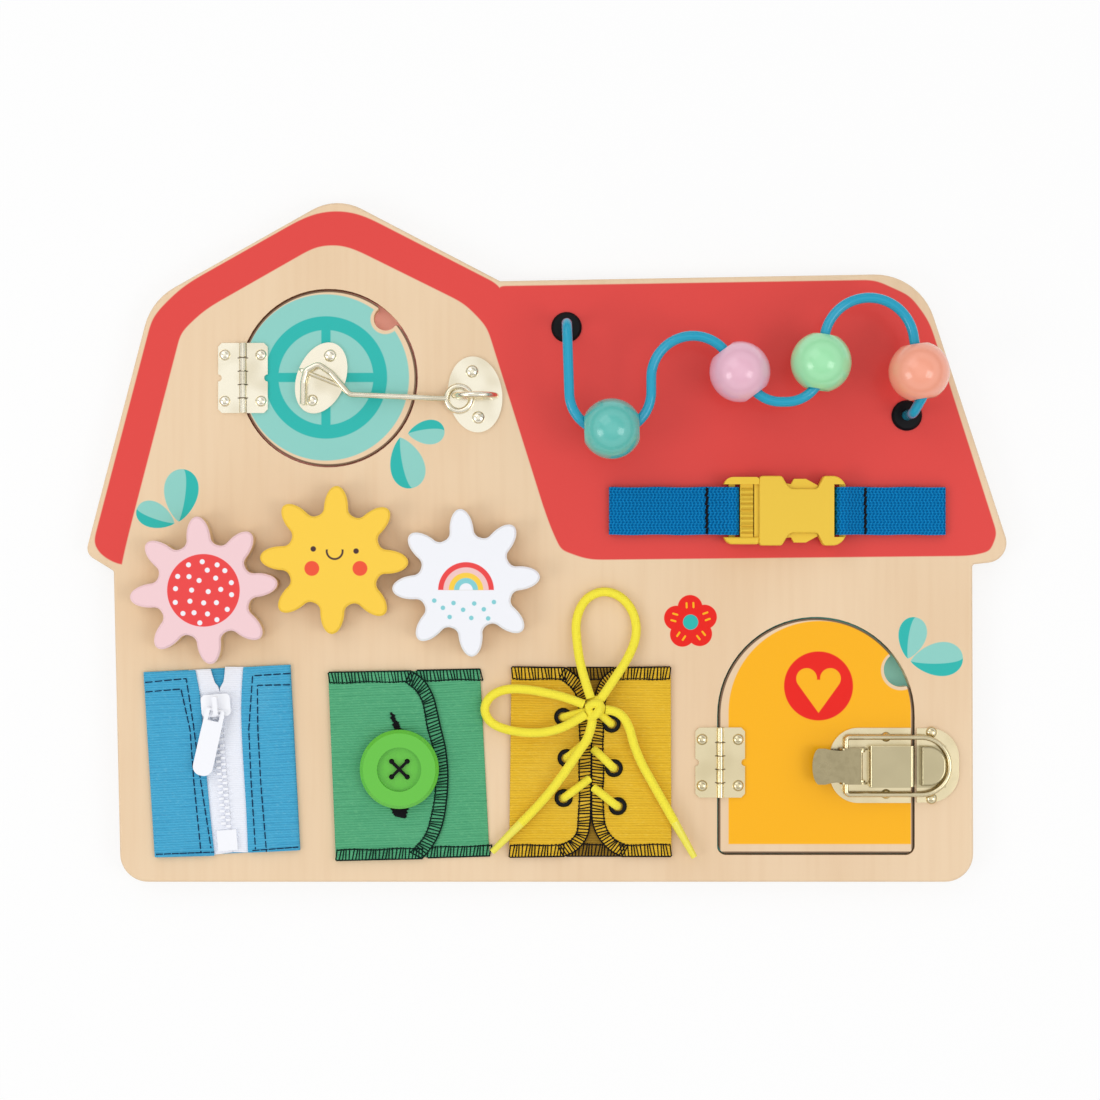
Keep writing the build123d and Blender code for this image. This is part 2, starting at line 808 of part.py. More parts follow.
maze_radii = [
    maze_top_radius, maze_loop_radius, maze_loop_radius, maze_crest_radius, maze_crest_radius,
    maze_dip_radius, maze_dip_radius, maze_peak_radius, maze_peak_radius, maze_last_radius,
    maze_end_radius,
]
maze_solid, maze_path = wire_solid(maze_points(), maze_radii, maze_wire_radius)


def maze_grommets():
    ring = disc(grommet_radius, grommet_height)
    ring = chamfer(ring.faces().sort_by(Axis.Z)[-1].edges(), grommet_height * 0.6)
    ring -= Pos(0, 0, -overrun) * disc(maze_wire_radius + running_clearance, grommet_height + 2 * overrun)
    return [at(place(s), face_z, ring) for s in (maze_first_place_shares, maze_end_place_shares)]


def bead():
    """A wooden ball with a wide chamfered bore along X."""
    ball = Sphere(bead_radius)
    bore = Rot(0, 90, 0) * Cylinder(bead_bore_radius, 3 * bead_radius)
    flat = sqrt(bead_radius ** 2 - bead_bore_radius ** 2)
    ball -= bore
    flare = Rot(0, 90, 0) * Cone(bead_bore_radius, bead_bore_radius + 2 * bead_chamfer, 2 * bead_chamfer)
    ball -= Pos(flat, 0, 0) * flare
    ball -= Rot(0, 0, 180) * Pos(flat, 0, 0) * flare
    return ball


def bead_place(route_share, drop):
    """Where a bead rests: midway across the wire's bend inside its bore, and hung by the bore."""
    reach = bead_radius * 0.8 / maze_path.length
    middle = maze_path @ route_share
    before = maze_path @ (route_share - reach)
    after = maze_path @ (route_share + reach)
    centre = middle * 0.5 + before * 0.25 + after * 0.25
    along = after - before
    return Vector(centre.X, centre.Y, maze_z - drop), degrees(atan2(along.Y, along.X))


bead_sites = {
    "teal_bead": bead_place(teal_bead_route_share, seat_gap),
    "pink_bead": bead_place(pink_bead_route_share, bead_drop),
    "green_bead": bead_place(green_bead_route_share, green_bead_drop),
    "peach_bead": bead_place(peach_bead_route_share, seat_gap),
}


# Strap and buckle
buckle_z = face_z + seat_gap + strap_thickness
strap_bar_z = buckle_z + buckle_height / 2
socket_bar_x = socket_x + buckle_length - strap_bar_width / 2
clip_left = socket_x - clip_tail
clip_bar_x = clip_left + strap_bar_width / 2 + strap_thickness + 2 * seat_gap


def strap(bar_x, side, length):
    """Webbing folded round a bar, stitched flat on itself, and folded under at its far end."""
    wrap_inner = sqrt(strap_bar_width ** 2 + strap_bar_thickness ** 2) / 2 + bore_clearance
    wrap_outer = wrap_inner + strap_thickness
    low = face_z
    flat_top = low + 2 * strap_thickness
    loop = Rot(90, 0, 0) * Cylinder(wrap_outer, strap_width)
    loop = Pos(bar_x, strap_line_y, strap_bar_z) * loop
    lead = 2.2 * wrap_outer
    web = make_face(Polyline(
        (bar_x, strap_bar_z + wrap_outer), (bar_x + side * lead, flat_top),
        (bar_x + side * length, flat_top), (bar_x + side * length, low),
        (bar_x + side * lead * 0.8, low), (bar_x, strap_bar_z - wrap_outer), close=True,
    ))
    web = Pos(0, strap_line_y + strap_width / 2, 0) * Rot(90, 0, 0) * extrude(web, amount=strap_width)
    fold = Pos(bar_x + side * length, strap_line_y, (low + flat_top) / 2) * Rot(90, 0, 0)
    body = loop + web + fold * Cylinder((flat_top - low) / 2, strap_width)
    bore = Rot(90, 0, 0) * Cylinder(wrap_inner, strap_width + 2 * overrun)
    wedge = Pos(side * lead / 2, 0, 0) * Box(lead, strap_width + 2 * overrun, 2 * seat_gap)
    body -= Pos(bar_x, strap_line_y, strap_bar_z) * (bore + wedge)
    body -= strap_screw(bar_x + side * (length - strap_fold_length / 2))
    return body


def strap_screw(x):
    """A flat-headed screw inside the fold, out of sight."""
    head_z = face_z + strap_thickness - hinge_plate
    screw = at(Vector(x, strap_line_y, 0), head_z, disc(strap_screw_radius, hinge_plate))
    shank = disc(hinge_screw_shank_radius, hinge_screw_shank_length)
    return screw + at(Vector(x, strap_line_y, 0), head_z - hinge_screw_shank_length, shank)


left_strap_far = left_strap_length - strap_fold_length / 2
right_strap_far = right_strap_length - strap_fold_length / 2


def strap_screws():
    return [
        strap_screw(clip_bar_x - left_strap_far), strap_screw(socket_bar_x + right_strap_far),
    ]


def buckle_socket():
    """The female half: a flat tube with waisted sides, open at the mouth, and a bar for the strap."""
    waist = buckle_waist_width / 2
    half = buckle_width / 2
    start = buckle_mouth_length
    tail = buckle_length - buckle_tail_length
    outline_points = [
        (0, -half), (start * 0.75, -half), (start, -waist), (tail - 2 * buckle_wall, -waist),
        (tail, -half), (buckle_length, -half), (buckle_length, half), (tail, half),
        (tail - 2 * buckle_wall, waist), (start, waist), (start * 0.75, half), (0, half),
    ]
    corner = 1.1 * buckle_wall
    end = buckle_tail_length * 0.62
    radii = [corner, corner, 2 * corner, corner, corner, end, end, corner, corner, 2 * corner, corner, corner]
    shell = slab(rounded_outline(outline_points, radii), buckle_height)
    shell = fillet(shell.faces().sort_by(Axis.Z)[-1].edges(), buckle_wall * 0.5)
    channel_length = tail - buckle_wall
    channel = Box(channel_length, clip_width + 2 * buckle_clearance, clip_height + 2 * buckle_clearance)
    side_limit = Box(channel_length, buckle_width - 0.9 * buckle_wall, buckle_height)
    shell -= Pos(channel_length / 2 - overrun / 2, 0, buckle_height / 2) * (channel & side_limit)
    slot_left = buckle_length - strap_bar_width - strap_thickness - 3 * seat_gap
    slot_width = strap_width + 2 * overrun
    slot = Box(buckle_length - slot_left + overrun, slot_width, buckle_height + 2 * overrun)
    shell -= Pos((slot_left + buckle_length + overrun) / 2, 0, buckle_height / 2) * slot
    bar = Box(strap_bar_width, slot_width, strap_bar_thickness)
    shell += Pos(buckle_length - strap_bar_width / 2, 0, buckle_height / 2) * bar
    return Pos(socket_x, strap_line_y, buckle_z) * shell


def buckle_clip():
    """The male half: an open tail with two bars, a guide tongue and two springy prongs."""
    half = clip_width / 2
    tail = clip_tail
    gap_width = strap_width + 2 * overrun
    frame = slab(
        rounded_outline(
            [(0, -half), (tail, -half), (tail, half), (0, half)],
            [clip_rail, buckle_wall, buckle_wall, clip_rail],
        ),
        buckle_height,
    )
    frame -= Pos(tail / 2, 0, -overrun) * block(tail + 2 * overrun, gap_width, buckle_height + 2 * overrun)
    frame = fillet(frame.faces().sort_by(Axis.Z)[-1].edges().filter_by(Axis.X), buckle_wall * 0.7)
    middle = buckle_height / 2
    bar_at = clip_bar_x - clip_left
    frame += Pos(bar_at, 0, middle) * Box(strap_bar_width, gap_width + buckle_wall, strap_bar_thickness)
    ladder_x = bar_at + strap_bar_width / 2 + strap_thickness + 2 * seat_gap + clip_bar_width / 2
    ladder = Box(clip_bar_width, gap_width + buckle_wall, clip_height)
    ribs = 7
    groove = Box(clip_bar_width + overrun, buckle_wall * 0.6, buckle_wall * 0.5)
    for index in range(ribs):
        rib_y = (index - (ribs - 1) / 2) * gap_width / ribs
        ladder -= Pos(0, rib_y, clip_height / 2) * groove
    frame += Pos(ladder_x, 0, middle) * ladder
    reach = clip_length
    inside = 2 * buckle_clearance
    root = Box(buckle_wall * 1.4, clip_width - inside, clip_height - inside)
    frame += Pos(tail - buckle_wall * 0.7, 0, middle) * root
    prong_edge = clip_width / 2 - 3 * buckle_clearance
    for sign in (-1, 1):
        prong_points = [
            (tail - buckle_wall, sign * (prong_edge - prong_width)),
            (tail - buckle_wall, sign * prong_edge),
            (tail + (reach - tail) * 0.55, sign * (prong_edge - prong_barb)),
            (tail + (reach - tail) * 0.60, sign * prong_edge),
            (tail + (reach - tail) * 0.80, sign * prong_edge),
            (reach, sign * (prong_edge - prong_barb * 1.2)),
            (reach, sign * (prong_edge - prong_width)),
        ]
        prong = make_face(Polyline(*prong_points, close=True))
        thick = clip_height - inside
        frame += Pos(0, 0, middle - thick / 2) * slab(prong, thick)
    tongue_reach = (reach - tail) * 0.9
    guide = Box(tongue_reach, tongue_bar_width, clip_height - inside)
    frame += Pos(tail + tongue_reach / 2 - buckle_wall / 2, 0, middle) * guide
    return Pos(clip_left, strap_line_y, buckle_z) * frame


# Blue patch with the zip
zip_centre = place(zip_place_shares)
tape_z = face_z + tape_lift
zip_cloth_z = face_z + zip_cloth_lift


def on_zip_line(shape, along, across, height):
    """Put a shape at a distance down the zip's line and across it."""
    return Pos(zip_centre.X, zip_centre.Y, height) * Rot(0, 0, zip_line_tilt) * Pos(across, -along, 0) * shape


def zip_patch():
    cloth = block(zip_width, zip_height, zip_cloth_lift + cloth_thickness)
    cloth = Pos(zip_centre.X, zip_centre.Y, face_z) * Rot(0, 0, zip_tilt) * cloth
    pocket_width = 2 * tape_width + 2 * slider_flange
    foot = tape_length / 2 + seat_gap
    pocket_length = foot + zip_height
    pocket = Pos(0, zip_height - pocket_length / 2, 0) * block(
        pocket_width, pocket_length, zip_cloth_lift + overrun
    )
    cloth -= on_zip_line(pocket, 0, 0, face_z - overrun)
    half_top = slider_width / 2 + tape_width * 0.35
    half_foot = slider_width / 2 + 2 * seat_gap
    opening = make_face(Polyline(
        (-half_top, zip_height), (half_top, zip_height), (half_foot, 0), (half_foot, -foot),
        (-half_foot, -foot), (-half_foot, 0), close=True,
    ))
    cloth -= on_zip_line(slab(opening, zip_cloth_lift + 4 * overrun), 0, 0, face_z - overrun)
    return cloth


def tape_outline(side):
    half = tape_length / 2
    vee = half - slider_drop
    edge = tooth_reach * 0.5
    spread = edge + tape_width * 0.55
    points = [
        (side * edge, -half), (side * edge, vee), (side * spread, half),
        (side * tape_width, half), (side * tape_width, -half),
    ]
    return make_face(Polyline(*points, close=True))


def zip_tapes():
    tapes = []
    for side in (-1, 1):
        tape = slab(tape_outline(side), tape_thickness)
        hem_width = tape_width - slider_width / 2 - seat_gap
        hem = Pos(side * (tape_width - hem_width / 2), 0, -tape_lift)
        tape += hem * block(hem_width, tape_length, tape_lift)
        tapes.append(on_zip_line(tape, 0, 0, tape_z))
    return tapes


def zip_chain():
    """Two rows of teeth that interlock below the slider."""
    teeth = []
    tooth = block(tooth_reach, tooth_width, tooth_height)
    first = slider_drop + slider_length / 2 - tape_length / 2
    tooth_z = tape_z + tape_thickness
    for index in range(tooth_rows):
        for side in (-1, 1):
            along = first + tooth_pitch * (index + 0.5) + side * tooth_pitch / 4
            teeth.append(on_zip_line(tooth, along, side * tooth_reach * 0.55, tooth_z))
    return teeth


def zip_stops():
    stop = block(stop_width, stop_length, tooth_height)
    return on_zip_line(stop, (tape_length - stop_length) / 2, 0, tape_z + tape_thickness)


slider_along = slider_drop - tape_length / 2
slider_top_z = face_z + slider_top_lift


def zip_slider():
    """Two plates joined by a post, with flanges over the teeth and a bridge for the pull."""
    outline = Rectangle(slider_width, slider_length)
    outline = fillet(outline.vertices(), slider_flange * 2)
    low_z = seat_gap * 0.4
    slider = Pos(0, 0, low_z) * slab(outline, slider_plate)
    slider += Pos(0, 0, slider_top_lift) * slab(outline, slider_top_plate)
    post = block(tooth_width, slider_length * 0.3, slider_top_lift)
    slider += Pos(0, slider_length * 0.3, low_z) * post
    flange_drop = slider_top_lift - tape_lift - tape_thickness - seat_gap
    for side in (-1, 1):
        flange = block(slider_flange, slider_length * 0.6, flange_drop)
        slider += Pos(side * (slider_width - slider_flange) / 2, 0, slider_top_lift - flange_drop) * flange
    top = slider_top_lift + slider_top_plate
    bridge = block(slider_bridge_width, slider_bridge_length, slider_bridge_height)
    opening = block(
        slider_bridge_width + overrun, slider_bridge_length - 2 * slider_bridge_bar,
        slider_bridge_height - slider_bridge_bar,
    )
    slider += Pos(0, 0, top) * (bridge - opening)
    return on_zip_line(slider, slider_along, 0, face_z)


pull_bar_z = face_z + slider_top_lift + slider_top_plate + pull_bar_radius + running_clearance
pull_offset = slider_bridge_length / 2 - slider_bridge_bar - pull_bar_radius - seat_gap


def zip_pull():
    """A tab with a slot round the bridge, whose end bar lies under it."""
    half_neck = pull_neck_width / 2
    half = pull_width / 2
    outline = rounded_outline(
        [(-half_neck, 0), (half_neck, 0), (half, -pull_length * 0.4), (half, -pull_length),
         (-half, -pull_length), (-half, -pull_length * 0.4)],
        [pull_bar_radius, pull_bar_radius, pull_width, pull_width * 0.45, pull_width * 0.45, pull_width],
    )
    tab = slab(outline, pull_thickness)
    slot = block(pull_slot_width, pull_slot_length, pull_thickness + 2 * overrun)
    tab -= Pos(0, -pull_slot_length / 2 + pull_bar_radius, -overrun) * slot
    tab = Pos(0, 0, -pull_bar_radius) * tab
    tab += Rot(0, 90, 0) * Cylinder(pull_bar_radius, pull_neck_width - 2 * seat_gap)
    return on_zip_line(Rot(0, 0, pull_turn) * tab, slider_along + pull_offset, 0, pull_bar_z)


# Green patch with the button
green_centre = place(green_place_shares)
button_centre = place(button_place_shares)


def on_green(shape, height):
    return Pos(green_centre.X, green_centre.Y, height) * Rot(0, 0, green_tilt) * shape


def green_patch():
    return on_green(block(green_width, green_height, cloth_thickness), face_z)


def green_flap():
    """The buttoned flap, with a bulging edge and a slit for the button."""
    half = green_height / 2
    left = -green_width / 2
    edge = left + flap_reach
    shoulder = left + flap_shoulder
    rounding = flap_bulge_radius
    outline = make_face(Polyline(
        (left, -half), (shoulder, -half), (edge - rounding * 0.14, -half * 0.52), (edge, -half * 0.1),
        (edge, half * 0.1), (edge - rounding * 0.14, half * 0.52), (shoulder, half), (left, half),
        close=True,
    ))
    soft = [v for v in outline.vertices() if v.X > left + overrun and abs(v.Y) < half - overrun]
    outline = fillet(soft, rounding * 0.3)
    flap = on_green(slab(outline, flap_thickness), face_z + cloth_thickness)
    slit = Pos(button_centre.X, button_centre.Y, face_z) * Rot(0, 0, green_tilt)
    return flap - slit * block(buttonhole_width, buttonhole_length, 4 * flap_thickness)


button_z = face_z + cloth_thickness + flap_thickness + seat_gap


def button():
    """A dished four-hole button with a raised rim, on a thread shank."""
    body = disc(button_radius, button_rim)
    body = chamfer(body.edges(), button_dish)
    dish_radius = button_radius * 0.56
    body -= Pos(0, 0, button_thickness - button_dish) * disc(dish_radius, button_rim)
    hole = disc(button_hole_radius, button_rim + 2 * overrun)
    for index in range(4):
        corner = Vector(button_hole_pitch / sqrt(2), 0, 0).rotate(Axis.Z, 45 + 90 * index)
        body -= Pos(corner.X, corner.Y, -overrun) * hole
    return at(button_centre, button_z, body)


def button_thread():
    """The crossed thread, through the four holes, and the shank under the button."""
    reach = button_hole_pitch / sqrt(2)
    top = button_thickness - button_dish + thread_radius + running_clearance
    strand_width = 1.6 * thread_radius
    cross = Rot(0, 0, 45) * Box(2 * reach, strand_width, strand_width)
    cross += Rot(0, 0, 135) * Box(2 * reach, strand_width, strand_width)
    cross = Pos(0, 0, top) * cross
    for index in range(4):
        cross += Rot(0, 0, 45 + 90 * index) * Pos(reach, 0, 0) * disc(thread_radius, top + thread_radius)
    under = button_z - face_z - cloth_thickness - running_clearance
    knot = seat_gap - running_clearance
    cross += Pos(0, 0, -under) * disc(button_shank_radius, under)
    cross += Pos(0, 0, -knot) * disc(reach + 2 * thread_radius, knot)
    return at(button_centre, button_z, cross)


# Yellow patch with the lace
yellow_centre = place(yellow_place_shares)
yellow_flap_z = face_z + cloth_thickness
lace_seat = yellow_flap_z + flap_thickness + eyelet_height


def yellow_patch():
    return at(yellow_centre, face_z, block(yellow_width, yellow_height, cloth_thickness))


def eyelet_places():
    """Left eyelets from the top, then right ones, about the patch's centre."""
    return [
        yellow_centre + Vector(across * yellow_width, up * yellow_height, 0)
        for across, up in left_eyelet_offsets_shares + right_eyelet_offsets_shares
    ]


def yellow_flaps():
    flaps = []
    half = yellow_height / 2
    hole = disc(eyelet_hole_radius + eyelet_barrel, 4 * flap_thickness)
    for side in (-1, 1):
        meet = flap_meet_offset + side * flap_meet_gap / 2
        outer = side * yellow_width / 2
        curve = yellow_flap_curve
        outline = make_face(Polyline(
            (outer, -half), (meet + side * curve, -half), (meet, -half + curve),
            (meet, half - curve), (meet + side * curve, half), (outer, half), close=True,
        ))
        bends = [v for v in outline.vertices() if abs(v.X - outer) > overrun]
        outline = fillet(bends, curve * 0.45)
        flap = at(yellow_centre, yellow_flap_z, slab(outline, flap_thickness))
        for point in eyelet_places():
            flap -= at(point, face_z, hole)
        flaps.append(flap)
    return flaps


def eyelets():
    """Each is a flanged ring over the flap, with a barrel through it."""
    flange = disc(eyelet_radius, eyelet_height)
    flange = chamfer(flange.faces().sort_by(Axis.Z)[-1].edges(), eyelet_height * 0.6)
    ring = flange + Pos(0, 0, -flap_thickness) * disc(eyelet_hole_radius + eyelet_barrel, flap_thickness)
    ring -= Pos(0, 0, -flap_thickness - overrun) * disc(eyelet_hole_radius, 4 * flap_thickness)
    return [at(point, yellow_flap_z + flap_thickness, ring) for point in eyelet_places()]


seam_place_shares = (
    (-0.0457, 0.2681), (-0.02, 0.115), (-0.02, -0.080), (0.0745, 0.2453), (0.03, 0.070), (0.03, -0.135),
)


def lace_crossings():
    """The short tight stretches, each out of an eyelet to the seam or to the knot."""
    pieces = []
    level = lace_seat + crossing_radius + crossing_lift
    for eye, (across, up) in zip(eyelet_places(), seam_place_shares):
        seam = yellow_centre + Vector(across * yellow_width, up * yellow_height, 0)
        points = [
            (eye.X, eye.Y, face_z + cloth_thickness + seat_gap), (eye.X, eye.Y, level),
            (seam.X, seam.Y, level),
        ]
        pieces.append(wire_solid(points, [crossing_bend], crossing_radius)[0])
    return pieces


def lace_piece(name, route):
    """A free stretch: straight runs, with each arc as large as its two runs allow."""
    points = [Vector(*p) for p in route]
    radii = []
    for before, here, after in zip(points, points[1:], points[2:]):
        turn = (here - before).get_angle(after - here)
        shorter = min((here - before).length, (after - here).length)
        radii.append(0.45 * shorter / abs(sin(radians(turn) / 2) / cos(radians(turn) / 2)))
    solid, path = wire_solid(points, radii, lace_radius)
    expected = pi * lace_radius ** 2 * path.length
    print(name, "length", round(path.length, 1), "volume ratio", round(solid.volume / expected, 4),
          "radii", [round(r, 1) for r in radii])
    return solid


def lace_aglets():
    """A hard sheath on each tail, that narrows to its tip."""
    sheaths = []
    for route in (left_tail_route, right_tail_route):
        last = Vector(*route[-1])
        along = (last - Vector(*route[-2])).normalized()
        bottom = (Align.CENTER, Align.CENTER, Align.MIN)
        sheath = Cone(lace_radius, lace_radius * 0.7, aglet_length, align=bottom)
        sheaths.append(Plane(last, z_dir=along) * sheath)
    return sheaths


def lace_knot():
    return Pos(*knot_place) * Sphere(knot_radius)


def build():
    single = {
        "front_panel": front_panel(),
        "back_panel": back_panel(),
        "window_hinge_fixed_leaf": hinge_leaf(window_axis_x, window_centre.Y, -1, board_heads[:2]),
        "window_hinge_leaf": hinge_leaf(window_axis_x, window_centre.Y, 1, window_heads[:2]),
        "door_hinge_fixed_leaf": hinge_leaf(door_axis_x, door_hinge_y, -1, board_heads[2:4]),
        "door_hinge_leaf": hinge_leaf(door_axis_x, door_hinge_y, 1, door_heads[:2]),
        "window_disc": window_disc(),
        "hook_keeper": hook_keeper(),
        "hook_eye": hook_eye(),
        "hook": hook(),
        "door_panel": door_panel(),
        "latch_base": latch_base(),
        "latch_pivot_pin": latch_pivot_pin(),
        "latch_lever": latch_lever(),
        "latch_bail": latch_bail(),
        "latch_catch": latch_catch(),
        "sun_gear": gear(sun_centre, sun_turn),
        "pink_gear": gear(pink_centre, pink_turn),
        "white_gear": gear(white_centre, white_turn),
        "sun_axle": gear_axle(sun_centre),
        "pink_axle": gear_axle(pink_centre),
        "white_axle": gear_axle(white_centre),
        "maze_wire": maze_solid,
        "left_strap": strap(clip_bar_x, -1, left_strap_length),
        "right_strap": strap(socket_bar_x, 1, right_strap_length),
        "buckle_socket": buckle_socket(),
        "buckle_clip": buckle_clip(),
        "zip_patch": zip_patch(),
        "zip_stops": zip_stops(),
        "zip_slider": zip_slider(),
        "zip_pull": zip_pull(),
        "green_patch": green_patch(),
        "green_flap": green_flap(),
        "button": button(),
        "button_thread": button_thread(),
        "yellow_patch": yellow_patch(),
        "lace_knot": lace_knot(),
        "lace_top_loop": lace_piece("lace_top_loop", top_loop_route),
        "lace_left_loop": lace_piece("lace_left_loop", left_loop_route),
        "lace_left_tail": lace_piece("lace_left_tail", left_tail_route),
        "lace_right_tail": lace_piece("lace_right_tail", right_tail_route),
    }
    groups = {
        "back_screws": back_screws(),
        "board_screws": fixings(board_heads),
        "window_screws": fixings(window_heads),
        "door_screws": fixings(door_heads),
        "hinge_pins": hinge_pins(),
        "gear_spacers": gear_spacers(),
        "maze_grommets": maze_grommets(),
        "strap_screws": strap_screws(),
        "zip_tapes": zip_tapes(),
        "zip_chain": zip_chain(),
        "yellow_flaps": yellow_flaps(),
        "eyelets": eyelets(),
        "lace_crossings": lace_crossings(),
        "lace_aglets": lace_aglets(),
    }
    for name, (centre, turn) in bead_sites.items():
        single[name] = Pos(*centre) * Rot(0, 0, turn) * bead()
    for name, shape in single.items():
        save(name, shape)
    for name, solids in groups.items():
        save(name, Compound(children=list(solids)))


build()
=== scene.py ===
from math import atan2, cos, degrees, pi, radians, sin, sqrt

import bpy
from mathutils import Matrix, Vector


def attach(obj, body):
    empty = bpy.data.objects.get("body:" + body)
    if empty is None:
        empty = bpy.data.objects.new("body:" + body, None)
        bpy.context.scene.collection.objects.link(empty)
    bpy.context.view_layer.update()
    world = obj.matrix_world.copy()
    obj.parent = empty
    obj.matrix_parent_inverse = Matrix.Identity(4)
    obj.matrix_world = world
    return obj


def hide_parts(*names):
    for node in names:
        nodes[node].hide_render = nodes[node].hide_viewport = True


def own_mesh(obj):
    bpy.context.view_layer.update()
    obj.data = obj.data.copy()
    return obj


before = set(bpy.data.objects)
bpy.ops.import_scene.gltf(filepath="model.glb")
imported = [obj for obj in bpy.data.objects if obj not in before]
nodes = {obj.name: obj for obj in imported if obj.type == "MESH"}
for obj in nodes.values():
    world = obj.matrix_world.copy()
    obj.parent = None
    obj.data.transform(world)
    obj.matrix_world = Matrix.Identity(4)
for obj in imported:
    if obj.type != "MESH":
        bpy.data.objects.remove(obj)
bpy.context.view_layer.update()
print("frame loaded")

# Lengths are written in millimetres and turned into metres by mm()
mmPerMetre = 1000.0


def mm(*values):
    return [v / mmPerMetre for v in values]


def toLinear(channel):
    c = channel / 255
    return c / 12.92 if c <= 0.04045 else ((c + 0.055) / 1.055) ** 2.4


def rgb(r, g, b):
    return (toLinear(r), toLinear(g), toLinear(b), 1.0)


# Shader writing: a Term is a number on the surface, and + - * / on it add Math nodes
class Term:
    def __init__(self, look, socket):
        self.look = look
        self.socket = socket

    def maths(self, operation, *others, clamp=False):
        settings = {"operation": operation, "use_clamp": clamp}
        inputs = dict(enumerate((self,) + others))
        return Term(self.look, self.look.node("ShaderNodeMath", settings, inputs).outputs[0])

    def __add__(self, other):
        return self.maths("ADD", other)

    def __sub__(self, other):
        return self.maths("SUBTRACT", other)

    def __rsub__(self, other):
        return -self + other

    def __mul__(self, other):
        return self.maths("MULTIPLY", other)

    def __truediv__(self, other):
        return self.maths("DIVIDE", other)

    def __neg__(self):
        return self * -1

    def __abs__(self):
        return self.maths("ABSOLUTE")

    def __mod__(self, other):
        return self.maths("FLOORED_MODULO", other)

    def power(self, exponent):
        return self.maths("POWER", exponent)

    def least(self, other):
        return self.maths("MINIMUM", other)

    def most(self, other):
        return self.maths("MAXIMUM", other)

    def softMost(self, other, distance):
        return self.maths("SMOOTH_MAX", other, distance)

    def sine(self):
        return self.maths("SINE")

    def ramp(self, low, high):  # 0 below low, 1 above high
        settings = {"interpolation_type": "SMOOTHSTEP"}
        n = self.look.node("ShaderNodeMapRange", settings, {"Value": self, "From Min": low, "From Max": high})
        return Term(self.look, n.outputs[0])

    def inside(self, edge=0.16):  # 1 where a distance is below zero
        return (0.5 - self / edge).maths("ADD", 0.0, clamp=True)


def addNode(tree, kind, settings=None, inputs=None):
    n = tree.nodes.new(kind)
    for key, value in (settings or {}).items():
        setattr(n, key, value)
    for key, value in (inputs or {}).items():
        if isinstance(value, Term):
            value = value.socket
        if isinstance(value, bpy.types.NodeSocket):
            tree.links.new(value, n.inputs[key])
        else:
            n.inputs[key].default_value = value
    return n


